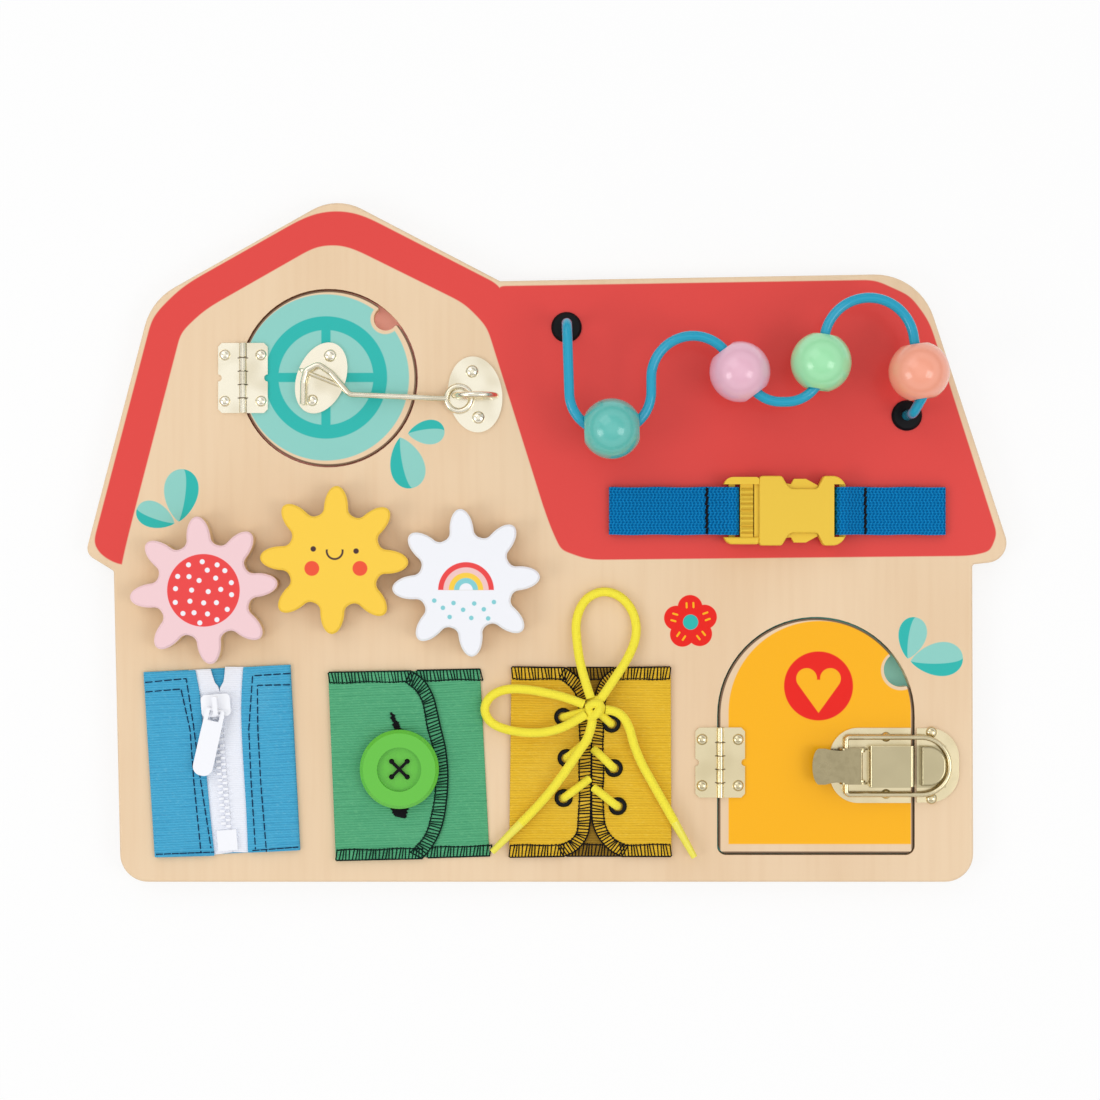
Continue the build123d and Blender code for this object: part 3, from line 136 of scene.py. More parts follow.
class Look:
    def __init__(self, name, colour, roughness=0.5, metallic=0.0, coat=0.0, sheen=0.0, specular=0.2):
        self.material = bpy.data.materials.new(name)
        self.material.use_nodes = True
        self.tree = self.material.node_tree
        self.shader = self.tree.nodes["Principled BSDF"]
        self.shader.inputs["Roughness"].default_value = roughness
        self.shader.inputs["Metallic"].default_value = metallic
        self.shader.inputs["Coat Weight"].default_value = coat
        self.shader.inputs["Coat Roughness"].default_value = 0.12
        self.shader.inputs["Specular IOR Level"].default_value = specular
        self.shader.inputs["Sheen Weight"].default_value = sheen
        self.shader.inputs["Base Color"].default_value = colour
        self.base = colour
        self.coords = self.node("ShaderNodeTexCoord").outputs["Object"]
        parts = self.node("ShaderNodeSeparateXYZ", None, {"Vector": self.coords})
        self.x = Term(self, parts.outputs[0]) * mmPerMetre
        self.y = Term(self, parts.outputs[1]) * mmPerMetre
        self.z = Term(self, parts.outputs[2]) * mmPerMetre

    def node(self, kind, settings=None, inputs=None):
        return addNode(self.tree, kind, settings, inputs)

    def mix(self, factor, first, second):
        settings = {"data_type": "RGBA"}
        return self.node("ShaderNodeMix", settings, {0: factor, 6: first, 7: second}).outputs[2]

    def paint(self, mask, colour):
        self.base = self.mix(mask, self.base, colour)
        self.tree.links.new(self.base, self.shader.inputs["Base Color"])

    def stamp(self, shape, edge, mask, colour):  # a painted shape, with one of the blurs at its edge
        self.paint(shape.inside(blur[edge]) * mask, colours[colour])

    def stretched(self, scale):
        settings = {"vector_type": "POINT"}
        return self.node("ShaderNodeMapping", settings, {"Vector": self.coords, "Scale": scale}).outputs[0]

    def noise(self, scale, detail=3.0, stretch=(1, 1, 1)):  # scale counts per millimetre
        inputs = {"Vector": self.stretched(stretch), "Scale": scale * mmPerMetre, "Detail": detail}
        return Term(self, self.node("ShaderNodeTexNoise", None, inputs).outputs[0])

    def rough(self, value):
        self.tree.links.new(value.socket, self.shader.inputs["Roughness"])

    def bump(self, height, strength, depth):  # depth in millimetres
        inputs = {"Strength": strength, "Distance": depth / mmPerMetre, "Height": height}
        n = self.node("ShaderNodeBump", None, inputs)
        self.tree.links.new(n.outputs[0], self.shader.inputs["Normal"])

    # distances in millimetres, below zero inside
    def circle(self, cx, cy, radius):
        dx, dy = self.x - cx, self.y - cy
        return (dx * dx + dy * dy).power(0.5) - radius

    def turned(self, cx, cy, angle):
        a = radians(angle)
        dx, dy = self.x - cx, self.y - cy
        return dx * cos(a) + dy * sin(a), dy * cos(a) - dx * sin(a)

    def bar(self, cx, cy, halfLength, halfWidth, angle=0.0):
        u, v = self.turned(cx, cy, angle)
        return (abs(u) - halfLength).most(abs(v) - halfWidth)

    def dash(self, cx, cy, halfLength, radius, angle=0.0):
        u, v = self.turned(cx, cy, angle)
        over = (abs(u) - halfLength).most(0.0)
        return (over * over + v * v).power(0.5) - radius

    def corners(self, points, softness=0.5):  # a convex outline, given anticlockwise or clockwise
        turn = sum(a[0] * b[1] - b[0] * a[1] for a, b in zip(points, points[1:] + points[:1]))
        way = 1 if turn > 0 else -1
        shape = None
        for a, b in zip(points, points[1:] + points[:1]):
            length = sqrt((b[0] - a[0]) ** 2 + (b[1] - a[1]) ** 2)
            nx, ny = way * (b[1] - a[1]) / length, -way * (b[0] - a[0]) / length
            side = self.x * nx + self.y * ny - (a[0] * nx + a[1] * ny)
            shape = side if shape is None else shape.softMost(side, softness)
        return shape

    def leaf(self, tip, end, halfWidth, darkSide):  # a drop from its tip, and its darker side
        dx, dy = end[0] - tip[0], end[1] - tip[1]
        length = sqrt(dx * dx + dy * dy)
        u, v = self.turned(tip[0], tip[1], degrees(atan2(dy, dx)))
        along = (u / length).most(0.0).least(1.0)
        half = along.power(0.8) * (1 - along).most(0.0).power(0.5) * (halfWidth * 2.36)
        body = (abs(v) - half).most(-u).most(u - length)
        dark = (half * 0.26) - v * darkSide
        return body, dark.most(body)


# Height of the wooden faces, how far painted edges blur, and the painted shade along a cut edge, for the
# shadow in the gap round a cut piece
boardTop = 12.0
blur = {"wide": 0.5, "medium": 0.4, "fine": 0.3}
gapShadeRim = {"from": -0.1, "to": 0.25, "strength": 0.9}

# Colours of the whole toy
colours = {
    "wood": rgb(238, 210, 175), "woodDark": rgb(220, 182, 140), "woodEdge": rgb(226, 196, 148),
    "plyLine": rgb(176, 132, 84), "roofRed": rgb(227, 70, 65), "lightTeal": rgb(142, 208, 198),
    "darkTeal": rgb(40, 184, 176), "doorYellow": rgb(252, 181, 12), "heartRed": rgb(236, 24, 8),
    "sunYellow": rgb(252, 208, 72), "petalPink": rgb(244, 208, 212), "white": rgb(243, 244, 249),
    "dotRed": rgb(238, 72, 72), "cheekRed": rgb(242, 86, 56), "faceBrown": rgb(74, 50, 52),
    "softPink": rgb(255, 190, 176), "rainbowPink": rgb(243, 200, 196), "rainbowBlue": rgb(134, 208, 214),
    # gapShadow is painted shade for the dark gaps round the cut pieces
    "gapShadow": rgb(96, 66, 46), "innerTeal": rgb(146, 214, 202),
}


# Pale plywood: fine upright grain over broad clouds, and glue lines round the sides
birchGrain = {"noise": (0.35, 4.0, (1.0, 0.05, 1.0)), "ramp": (0.35, 0.8), "strength": 0.16}
birchCloud = {"noise": (0.02, 2.0, (1.0, 0.45, 1.0)), "ramp": (0.4, 0.75), "strength": 0.26}
plySizes = {"layer": 1.5, "line": 0.22, "lineBlur": 0.12, "edgeStrength": 0.55, "lineStrength": 0.5}


def birch(look):
    grain = look.noise(*birchGrain["noise"])
    cloud = look.noise(*birchCloud["noise"])
    fine = grain.ramp(*birchGrain["ramp"]) * birchGrain["strength"]
    broad = cloud.ramp(*birchCloud["ramp"]) * birchCloud["strength"]
    look.paint(fine + broad, colours["woodDark"])
    look.bump(grain, 0.06, 0.12)


def plyEdge(look, top):  # paints the sides, and gives back a mask of the top face
    p = plySizes
    layer = ((look.z - top) % (2 * p["layer"]) - p["layer"]) / p["layer"]
    line = (p["line"] - abs(layer)).ramp(0.0, p["lineBlur"])
    side = 1 - look.z.ramp(top - 1.4, top - 1.0)
    look.paint(side * p["edgeStrength"], colours["woodEdge"])
    look.paint(side * line * p["lineStrength"], colours["plyLine"])
    return look.z.ramp(top - 0.35, top - 0.2)


# Roof, leaves and flower painted on the board's face
boardPaint = {
    "gable": [
        (-189.8, 0.2), (-165.0, 95.1), (-153.0, 107.7), (-99.4, 138.0), (-88.7, 140.1), (-77.8, 138.6),
        (-19.3, 108.6), (23.0, 18.3), (-178.4, -9.4), (-187.0, -4.8),
    ],
    "roof": [
        (-19.4, 108.1), (138.5, 110.7), (153.2, 104.0), (161.2, 93.5), (189.7, 4.0), (186.8, -3.1),
        (180.5, -5.2), (17.9, -6.9), (6.6, -2.7), (2.3, 5.5), (-24.5, 90.9),
    ],
    "bare": [
        (-178.4, -9.4), (-153.0, 88.4), (-143.6, 97.8), (-96.7, 124.5), (-88.7, 125.6), (-82.0, 124.5),
        (-33.7, 100.6), (-24.5, 90.9), (16.7, -40.5), (-182.8, -40.5),
    ],
    "leaves": [
        ((-153.9, 9.2), (-152.1, 31.2), 7.3, -1), ((-155.7, 8.5), (-171.4, 14.8), 5.5, 1),
        ((-57.6, 46.1), (-42.3, 47.2), 5.2, 1), ((-60.9, 44.5), (-55.6, 23.3), 7.3, -1),
        ((152.2, -48.3), (155.6, -31.0), 5.95, 1), ((153.4, -49.4), (175.3, -47.9), 7.2, -1),
    ],
    "roundGable": 4.0, "roundRoof": 3.0,
    "flower": {
        "centre": (61.0, -33.0), "petal": 5.2, "reach": 6.2, "heart": 3.2, "count": 5, "turn": 20,
        "markReach": 1.7, "markHalf": 0.9, "markRadius": 0.4,
    },
}


def dressBoard():
    look = Look("birchFace", colours["wood"], 0.42, coat=0.15)
    birch(look)
    top = plyEdge(look, boardTop)
    gable = look.corners(boardPaint["gable"], boardPaint["roundGable"])
    roof = look.corners(boardPaint["roof"], boardPaint["roundRoof"])
    bare = look.corners(boardPaint["bare"], boardPaint["roundRoof"])
    red = gable.most(-bare).least(roof)
    look.stamp(red, "wide", top, "roofRed")
    for tip, end, halfWidth, side in boardPaint["leaves"]:
        body, dark = look.leaf(tip, end, halfWidth, side)
        look.stamp(body, "fine", top, "lightTeal")
        look.stamp(dark, "fine", top, "darkTeal")
    f = boardPaint["flower"]
    cx, cy = f["centre"]
    for i in range(f["count"]):
        a = radians(f["turn"] + 360 / f["count"] * i)
        px, py = cx + f["reach"] * cos(a), cy + f["reach"] * sin(a)
        look.stamp(look.circle(px, py, f["petal"]), "fine", top, "heartRed")
        for lean in (-1, 1):
            mx, my = px + f["markReach"] * cos(a + lean), py + f["markReach"] * sin(a + lean)
            mark = look.dash(mx, my, f["markHalf"], f["markRadius"], degrees(a))
            look.paint(mark.inside() * top, colours["doorYellow"])
    look.stamp(look.circle(cx, cy, f["heart"]), "fine", top, "darkTeal")
    return look.material


# Recesses behind the window and the door. The glow stands for light that comes back off their walls
recessPaint = {
    "window": (-91.0, 69.4, 44.0), "door": (115.0, -80.0, 48.0, 56.0), "from": (2.6, 2.8), "glow": 0.14,
}


def dressBackPanel():
    look = Look("birchBack", colours["wood"], 0.5)
    birch(look)
    inner = look.z.ramp(*recessPaint["from"])
    look.paint(look.circle(*recessPaint["window"]).inside() * inner, colours["softPink"])
    look.paint(look.bar(*recessPaint["door"]).inside() * inner, colours["innerTeal"])
    look.shader.inputs["Emission Strength"].default_value = recessPaint["glow"]
    glow = look.mix(inner, (0.0, 0.0, 0.0, 1.0), look.base)
    look.tree.links.new(glow, look.shader.inputs["Emission Color"])
    return look.material


def paintGapShade(look, cut, top):  # painted shade: a dark rim along a cut piece's edge, for the shadow in the gap round it
    rim = cut.ramp(gapShadeRim["from"], gapShadeRim["to"])
    look.paint(rim * top * gapShadeRim["strength"], colours["gapShadow"])


windowPaint = {
    "centre": (-92.1, 69.7), "disc": 34.9, "ringOut": 25.7, "ringIn": 19.9, "bar": 1.95,
    "notch": (-67.2, 94.1, 6.2), "cut": (-91.0, 69.4, 36.0),
}


def dressWindow():
    look = Look("windowFace", colours["wood"], 0.42, coat=0.15)
    birch(look)
    top = plyEdge(look, boardTop)
    w = windowPaint
    cx, cy = w["centre"]
    disc = look.circle(cx, cy, w["disc"]).most(-look.circle(*w["notch"]))
    look.stamp(disc, "medium", top, "lightTeal")
    ring = look.circle(cx, cy, w["ringOut"]).most(-look.circle(cx, cy, w["ringIn"]))
    reach = w["ringIn"] + 1
    cross = look.bar(cx, cy, reach, w["bar"]).least(look.bar(cx, cy, w["bar"], reach))
    look.stamp(ring.least(cross), "medium", top, "darkTeal")
    # painted shade along the window's edge, for the shadow in its gap
    paintGapShade(look, look.circle(*w["cut"]), top)
    return look.material


doorPaint = {
    "centre": (115.2, -70.8), "radius": 38.3, "foot": -126.2, "discAt": (114.7, -59.8), "disc": 14.5,
    "lobe": (5.0, 3.1, 4.35), "point": [(0.0, -11.3), (8.5, 0.5), (4.6, 2.6), (-4.6, 2.6), (-8.5, 0.5)],
    "roundPoint": 0.4, "notch": (149.3, -53.2, 8.4), "cut": (113.6, -72.3, -129.2, 40.0),
}


def dressDoor():
    look = Look("doorFace", colours["wood"], 0.4, coat=0.15)
    birch(look)
    top = plyEdge(look, boardTop)
    d = doorPaint
    cx, cy = d["centre"]
    low = look.bar(cx, (cy + d["foot"]) / 2, d["radius"], (cy - d["foot"]) / 2)
    shape = low.least(look.circle(cx, cy, d["radius"])).most(-look.circle(*d["notch"]))
    look.stamp(shape, "medium", top, "doorYellow")
    hx, hy = d["discAt"]
    look.stamp(look.circle(hx, hy, d["disc"]), "medium", top, "heartRed")
    dx, dy, radius = d["lobe"]
    lobes = look.circle(hx + dx, hy + dy, radius).least(look.circle(hx - dx, hy + dy, radius))
    point = look.corners([(hx + a, hy + b) for a, b in d["point"]], d["roundPoint"])
    look.stamp(lobes.least(point), "fine", top, "doorYellow")
    cutX, spring, foot, half = d["cut"]
    straight = look.bar(cutX, (spring + foot) / 2, half, (spring - foot) / 2)
    cut = straight.least(look.circle(cutX, spring, half))
    # painted shade along the door's edge, for the shadow in its gap
    paintGapShade(look, cut, top)
    return look.material


# Gears: painted faces over wooden sides
gearPaint = {
    "sun": (-87.83, -6.88), "pink": (-142.08, -19.5), "white": (-32.94, -16.36), "top": 22.2,
    "dotDisc": 15.1, "dotRadius": 1.02,
    "dots": [
        (-6.2, 10.6), (-0.5, 11.9), (5.7, 10.6), (1.6, 8.4), (8.9, 8.2), (-10.7, 5.8), (-6.0, 5.7),
        (-1.8, 4.1), (5.1, 5.1), (11.6, 3.2), (-11.6, 0.7), (-4.9, 0.1), (2.0, -0.5), (7.2, 0.4),
        (11.7, -1.8), (-11.7, -5.0), (-5.6, -4.5), (0.1, -5.2), (5.4, -5.1), (-8.5, -9.6), (-3.9, -9.3),
        (1.7, -9.8), (9.9, -7.9), (5.6, -12.2), (-1.5, -13.5),
    ],
    "eyes": [(-8.6, 4.6), (9.2, 3.7)], "eyeRadius": 1.15,
    "cheeks": [(-9.2, -3.5), (10.8, -3.5)], "cheekRadius": 3.1,
    "smile": {"at": (0.3, 3.7), "radius": 3.3, "half": 0.42, "top": 4.4},
    "archFoot": -3.0, "dropRadius": 0.95,
    "rainbow": [
        (11.6, "dotRed"), (9.4, "rainbowPink"), (7.2, "sunYellow"), (5.0, "rainbowBlue"), (2.8, "white"),
    ],
    "drops": [
        (-13.2, -7.4), (-9.6, -10.4), (-5.2, -8.4), (-1.2, -11.2), (3.4, -8.6), (7.4, -11.0), (11.6, -8.0),
        (-6.8, -14.2), (2.2, -14.6), (9.2, -14.8),
    ],
}


def gearLook(name, colour):
    look = Look(name, colours["woodEdge"], 0.45, coat=0.1)
    birch(look)
    top = look.z.ramp(gearPaint["top"] - 1.1, gearPaint["top"] - 0.8)
    look.paint(top, colours[colour])
    return look, top


def dressGears():
    g = gearPaint
    pink, top = gearLook("pinkGearFace", "petalPink")
    cx, cy = g["pink"]
    pink.stamp(pink.circle(cx, cy, g["dotDisc"]), "fine", top, "dotRed")
    for dx, dy in g["dots"]:
        pink.stamp(pink.circle(cx + dx, cy + dy, g["dotRadius"]), "fine", top, "white")
    sun, top = gearLook("sunGearFace", "sunYellow")
    cx, cy = g["sun"]
    for dx, dy in g["eyes"]:
        sun.stamp(sun.circle(cx + dx, cy + dy, g["eyeRadius"]), "fine", top, "faceBrown")
    for dx, dy in g["cheeks"]:
        sun.stamp(sun.circle(cx + dx, cy + dy, g["cheekRadius"]), "fine", top, "cheekRed")
    smile = g["smile"]
    sx, sy = smile["at"]
    line = abs(sun.circle(cx + sx, cy + sy, smile["radius"])) - smile["half"]
    line = line.most(sun.y - (cy + smile["top"]))
    sun.stamp(line, "fine", top, "faceBrown")
    white, top = gearLook("whiteGearFace", "white")
    cx, cy = g["white"]
    for radius, colour in g["rainbow"]:
        foot = cy + g["archFoot"]
        arch = white.circle(cx, foot, radius).most(foot - white.y)
        white.stamp(arch, "fine", top, colour)
    for dx, dy in g["drops"]:
        white.stamp(white.circle(cx + dx, cy + dy, g["dropRadius"]), "fine", top, "rainbowBlue")
    return pink.material, sun.material, white.material


def plainWood(name, colour):
    look = Look(name, colour, 0.5)
    grain = look.noise(0.5, 3.0, (0.3, 0.3, 1.0))
    look.paint(grain.ramp(0.4, 0.7) * 0.3, colours["woodDark"])
    return look.material


# Metals, with a painted reflection: a deeper tone lower down the toy, as its surroundings show in them
metalTones = {
    "plate": rgb(248, 241, 220), "plateReflectedLow": rgb(226, 212, 174), "patch": rgb(196, 180, 140),
    "aged": rgb(190, 179, 144), "agedReflectedLow": rgb(168, 156, 122), "agedWear": rgb(128, 116, 86),
    "zinc": rgb(205, 205, 200), "joint": rgb(96, 74, 44), "lowFrom": (-30.0, 95.0), "patchStrength": 0.35,
}


def brightMetal(name, colour, low, roughness, worn=0.0):
    look = Look(name, colour, roughness, metallic=1.0, specular=0.5)
    # painted reflection: a deeper tone lower down the toy
    look.paint((-look.y).ramp(*metalTones["lowFrom"]), low)
    look.paint(look.noise(0.07, 1.0).ramp(0.42, 0.72) * metalTones["patchStrength"], metalTones["patch"])
    wear = look.noise(0.12, 3.0)
    if worn:
        look.paint(look.noise(0.5, 4.0).ramp(0.35, 0.75) * worn, metalTones["agedWear"])
    look.rough(wear.ramp(0.3, 0.7) * 0.08 + roughness)
    look.bump(look.noise(0.25, 2.0), 0.06, 0.3)
    return look


# Grip ribs across the buckle's bar: a bump, with painted shade in the grooves between the ribs
clipGrip = {"box": (84.2, 13.7, 2.6, 9.6), "pitch": 2.0}

# The duller covers of the latch
latchWorn = {"box": (151.9, -93.6, 16.2, 8.9), "colour": rgb(184, 173, 138), "strength": 0.9}

# Painted shade: dark lines in the gaps between the knuckles of the hinges
hingeGapShade = {
    "places": [(-126.85, 69.43), (73.35, -91.88)], "steps": [-8.4, -2.8, 2.8, 8.4],
    "half": 2.2, "halfWidth": 0.24, "blur": 0.15, "strength": 0.85,
}


def lacquered(name, colour):  # beads
    return Look(name, colour, 0.24, coat=0.7, specular=0.45).material


def waves(distance, pitch):  # a sine with the given pitch in millimetres
    return (distance * (2 * pi / pitch)).sine()


# Zig-zag ribs of the woven strap
weaveSizes = {"turns": 0.55, "swing": 0.9, "pitch": 1.5, "rowPitch": 1.15}


def webbing():
    look = Look("blueWebbing", rgb(0, 122, 190), 0.85, specular=0.08)
    zig = abs((look.y * weaveSizes["turns"]) % 2.0 - 1.0) * weaveSizes["swing"]
    weave = waves(look.x + zig, weaveSizes["pitch"])
    rows = waves(look.y, weaveSizes["rowPitch"])
    thread = weave * 0.6 + rows * 0.4
    look.paint(thread.ramp(-0.2, 0.9) * 0.6, rgb(34, 152, 214))
    look.paint((-thread).ramp(0.1, 0.9) * 0.75, rgb(0, 78, 140))
    look.bump(thread, 0.9, 0.4)
    return look.material


# Ribs of the cloth, with a broader rib that comes and goes over them
ribSizes = {"pitch": 1.05, "broadPitch": 1.05 * 2.75, "wobble": 0.8}


def ribbedCloth(name, colour, dark, light, angle):
    look = Look(name, colour, 0.9, sheen=0.1, specular=0.1)
    u, v = look.turned(0, 0, angle)
    wobble = look.noise(0.05, 2.0) * ribSizes["wobble"]
    rib = waves(v + wobble, ribSizes["pitch"])
    broad = waves(v + wobble, ribSizes["broadPitch"]) * look.noise(0.08, 2.0).ramp(0.3, 0.6)
    fuzz = look.noise(1.2, 3.0, (0.5, 1.0, 1.0))
    cloud = look.noise(0.035, 2.0)
    look.paint((-rib).ramp(0.1, 0.95) * 0.45 + broad.ramp(0.2, 1.0) * 0.22, dark)
    look.paint(fuzz.ramp(0.5, 0.8) * 0.35 + cloud.ramp(0.5, 0.75) * 0.15, light)
    look.bump(rib + fuzz * 0.8, 0.6, 0.22)
    return look.material


# Pitches of the tape's ribs and of the lace's braid
tapeRib = 0.8
braidPitch = 1.5


def tapeCloth(name, colour, shade):
    look = Look(name, colour, 0.85, sheen=0.2)
    rib = waves(look.y, tapeRib)
    look.paint(rib.ramp(0.2, 1.0) * 0.3, shade)
    look.bump(rib, 0.4, 0.12)
    return look.material


def laceCloth():
    look = Look("yellowLace", rgb(252, 238, 70), 0.75, sheen=0.1, specular=0.1)
    u = waves(look.x + look.y + look.z, braidPitch)
    v = waves(look.x - look.y + look.z, braidPitch)
    braid = u * v
    look.paint((-braid).ramp(0.3, 0.9) * 0.28, rgb(216, 194, 28))
    look.bump(braid, 0.35, 0.25)
    return look.material


def moulded(name, colour, roughness, coat=0.2, specular=0.25):  # plastic, rubber and thread
    look = Look(name, colour, roughness, coat=coat, specular=specular)
    look.bump(look.noise(0.6, 2.0), 0.05, 0.1)
    return look.material


paleBrass = brightMetal("paleBrass", metalTones["plate"], metalTones["plateReflectedLow"], 0.17).material
hingeLook = brightMetal("hingeBrass", metalTones["plate"], metalTones["plateReflectedLow"], 0.17)
for axisX, middleY in hingeGapShade["places"]:
    for step in hingeGapShade["steps"]:
        seam = hingeLook.bar(axisX, middleY + step, hingeGapShade["half"], hingeGapShade["halfWidth"])
        # painted shade in the gaps between the knuckles
        hingeLook.paint(seam.inside(hingeGapShade["blur"]) * hingeGapShade["strength"], metalTones["joint"])
leverBrass = brightMetal("agedBrass", metalTones["aged"], metalTones["agedReflectedLow"], 0.2, 0.25).material
latchLook = brightMetal("latchBrass", metalTones["plate"], metalTones["plateReflectedLow"], 0.17)
latchCover = latchLook.bar(*latchWorn["box"]).inside(blur["medium"])
latchLook.paint(latchCover * latchWorn["strength"], latchWorn["colour"])
beech = plainWood("beechPeg", colours["woodEdge"])
zinc = brightMetal("zincScrew", metalTones["zinc"], metalTones["zinc"], 0.3).material
webMaterial = webbing()
lace = laceCloth()
blueCloth = ribbedCloth("blueRibs", rgb(78, 178, 218), rgb(42, 132, 182), rgb(126, 200, 228), 2.5)
greenCloth = ribbedCloth("greenRibs", rgb(92, 178, 130), rgb(56, 140, 98), rgb(126, 204, 150), 2.5)
mustardCloth = ribbedCloth("mustardRibs", rgb(240, 194, 52), rgb(200, 152, 28), rgb(250, 216, 96), 0.0)
# painted shade: a darker copy of the mustard cloth, for the lower layer that shows only in the shaded gaps
# between the flaps
mustardPaintedShade = ribbedCloth("mustardPaintedShade", rgb(156, 120, 38), rgb(110, 82, 20), rgb(176, 138, 50), 0.0)
whiteTape = tapeCloth("whiteTape", rgb(242, 244, 252), rgb(218, 222, 234))
whitePlastic = moulded("whitePlastic", rgb(247, 248, 253), 0.3)
yellowPlastic = moulded("bucklePlastic", rgb(238, 198, 66), 0.42, 0.0)
clipLook = Look("clipPlastic", rgb(238, 198, 66), 0.42)
clipRibs = clipLook.bar(*clipGrip["box"]).inside(blur["medium"]) * waves(clipLook.y, clipGrip["pitch"])
# painted shade in the grooves between the grip ribs
clipLook.paint(clipRibs.ramp(0.1, 0.9) * 0.55, rgb(196, 148, 30))
clipLook.bump(-clipRibs, 0.8, 0.4)
greenPlastic = moulded("buttonPlastic", rgb(100, 196, 62), 0.28, 0.5)
blackThread = moulded("blackThread", rgb(24, 22, 26), 0.85, 0.0, 0.1)
navyThread = moulded("navyThread", rgb(28, 48, 84), 0.85, 0.0, 0.1)
darkGreenThread = moulded("darkGreenThread", rgb(16, 40, 34), 0.85, 0.0, 0.1)
blackEnamel = moulded("blackEyelet", rgb(12, 12, 14), 0.22, 0.0, 0.16)
blackRubber = moulded("blackGrommet", rgb(12, 12, 16), 0.3, 0.0, 0.16)
mazeBlue = moulded("mazeCoating", rgb(4, 158, 192), 0.26, 0.6)
aglet = moulded("laceTip", rgb(243, 232, 84), 0.25, 0.6)
pinkGearFace, sunGearFace, whiteGearFace = dressGears()

finishes = {
    "front_panel": dressBoard(), "back_panel": dressBackPanel(), "window_disc": dressWindow(),
    "door_panel": dressDoor(),
    "pink_gear": pinkGearFace, "sun_gear": sunGearFace, "white_gear": whiteGearFace,
    "sun_axle": beech, "pink_axle": beech, "white_axle": beech, "gear_spacers": beech,
    "back_screws": zinc, "strap_screws": zinc, "maze_grommets": blackRubber, "maze_wire": mazeBlue,
    "teal_bead": lacquered("tealBall", rgb(94, 192, 182)),
    "pink_bead": lacquered("pinkBall", rgb(236, 184, 204)),
    "green_bead": lacquered("greenBall", rgb(160, 232, 176)),
    "peach_bead": lacquered("peachBall", rgb(250, 166, 138)),
    "buckle_socket": yellowPlastic, "buckle_clip": clipLook.material, "zip_slider": whitePlastic,
    "zip_pull": whitePlastic, "zip_chain": whitePlastic, "zip_stops": whitePlastic, "button": greenPlastic,
    "button_thread": blackThread, "eyelets": blackEnamel, "lace_aglets": aglet,
}
for name in (
    "window_hinge_fixed_leaf", "window_hinge_leaf", "door_hinge_fixed_leaf", "door_hinge_leaf", "hinge_pins",
    "board_screws", "window_screws", "door_screws", "hook_eye", "hook_keeper", "hook", "latch_base",
    "latch_pivot_pin", "latch_lever", "latch_bail", "latch_catch",
):
    finishes[name] = paleBrass
    if "hinge" in name and "leaf" in name:
        finishes[name] = hingeLook.material
finishes["latch_lever"] = leverBrass
for name in ("latch_base", "latch_catch"):
    finishes[name] = latchLook.material
for name, material in finishes.items():
    mesh = nodes[name].data
    mesh.materials.clear()
    mesh.materials.append(material)
print("CAD pieces finished:", len(finishes))


# Modelling helpers. Faces that meet within smoothAngle degrees are shaded as one
smoothAngle = 60


def onlyObject(obj):
    bpy.ops.object.select_all(action="DESELECT")
    obj.select_set(True)
    bpy.context.view_layer.objects.active = obj


def settle(obj, material, body):
    onlyObject(obj)
    bpy.ops.object.transform_apply(location=True, rotation=True, scale=True)
    bpy.ops.object.shade_smooth_by_angle(angle=radians(smoothAngle))
    obj.data.materials.clear()
    obj.data.materials.append(material)
    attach(obj, body)
    return obj


def applyModifiers(obj):
    onlyObject(obj)
    for modifier in list(obj.modifiers):
        bpy.ops.object.modifier_apply(modifier=modifier.name)


# Threads and cords: one curve object, with a spline for each run of points
curveSizes = {"threadBevel": 0, "cordBevel": 5, "cordSteps": 10, "cordOrder": 3}


def curveObject(name, runs, radius, material, kind, bevel):
    curve = bpy.data.curves.new(name, "CURVE")
    curve.dimensions = "3D"
    curve.resolution_u = curveSizes["cordSteps"]
    curve.bevel_depth = radius / mmPerMetre
    curve.bevel_resolution = bevel
    curve.use_fill_caps = True
    for points in runs:
        spline = curve.splines.new(kind)
        spline.points.add(len(points) - 1)
        for slot, point in zip(spline.points, points):
            slot.co = mm(*point) + [1.0]
        if kind == "NURBS":
            spline.order_u = curveSizes["cordOrder"]
            spline.use_endpoint_u = True
    obj = bpy.data.objects.new(name, curve)
    bpy.context.collection.objects.link(obj)
    curve.materials.append(material)
    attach(obj, "board")
    return obj


def threadLine(name, runs, radius, material):  # straight from point to point, as fine thread
    return curveObject(name, runs, radius, material, "POLY", curveSizes["threadBevel"])


def roundCord(name, runs, radius, material):  # smooth along its points, as thick cord
    return curveObject(name, runs, radius, material, "NURBS", curveSizes["cordBevel"])


# Cloth: a grid is added, moved to its outline row by row, waved a little, then given its thickness
clothRim = {"segments": 2, "angle": 50}


def clothSheet(name, columns, rows, place, thickness, material, edge=0.35, offset=-1):
    bpy.ops.object.select_all(action="DESELECT")
    bpy.ops.mesh.primitive_grid_add(x_subdivisions=columns, y_subdivisions=rows, size=1.0)
    obj = bpy.context.active_object
    obj.name = name
    for vertex in obj.data.vertices:
        vertex.co = mm(*place(vertex.co.x + 0.5, vertex.co.y + 0.5))
    solid = obj.modifiers.new("thickness", "SOLIDIFY")
    solid.thickness = thickness / mmPerMetre
    solid.offset = offset
    rim = obj.modifiers.new("rim", "BEVEL")
    rim.width = edge / mmPerMetre
    rim.segments = clothRim["segments"]
    rim.limit_method = "ANGLE"
    rim.angle_limit = radians(clothRim["angle"])
    applyModifiers(obj)
    return settle(obj, material, "board")


def between(a, b, t):
    return tuple(p + (q - p) * t for p, q in zip(a, b))


def apart(a, b):  # how far two points are from each other on the page
    return sqrt((b[0] - a[0]) ** 2 + (b[1] - a[1]) ** 2)


def stepLengths(points):
    return [apart(a, b) for a, b in zip(points, points[1:])]


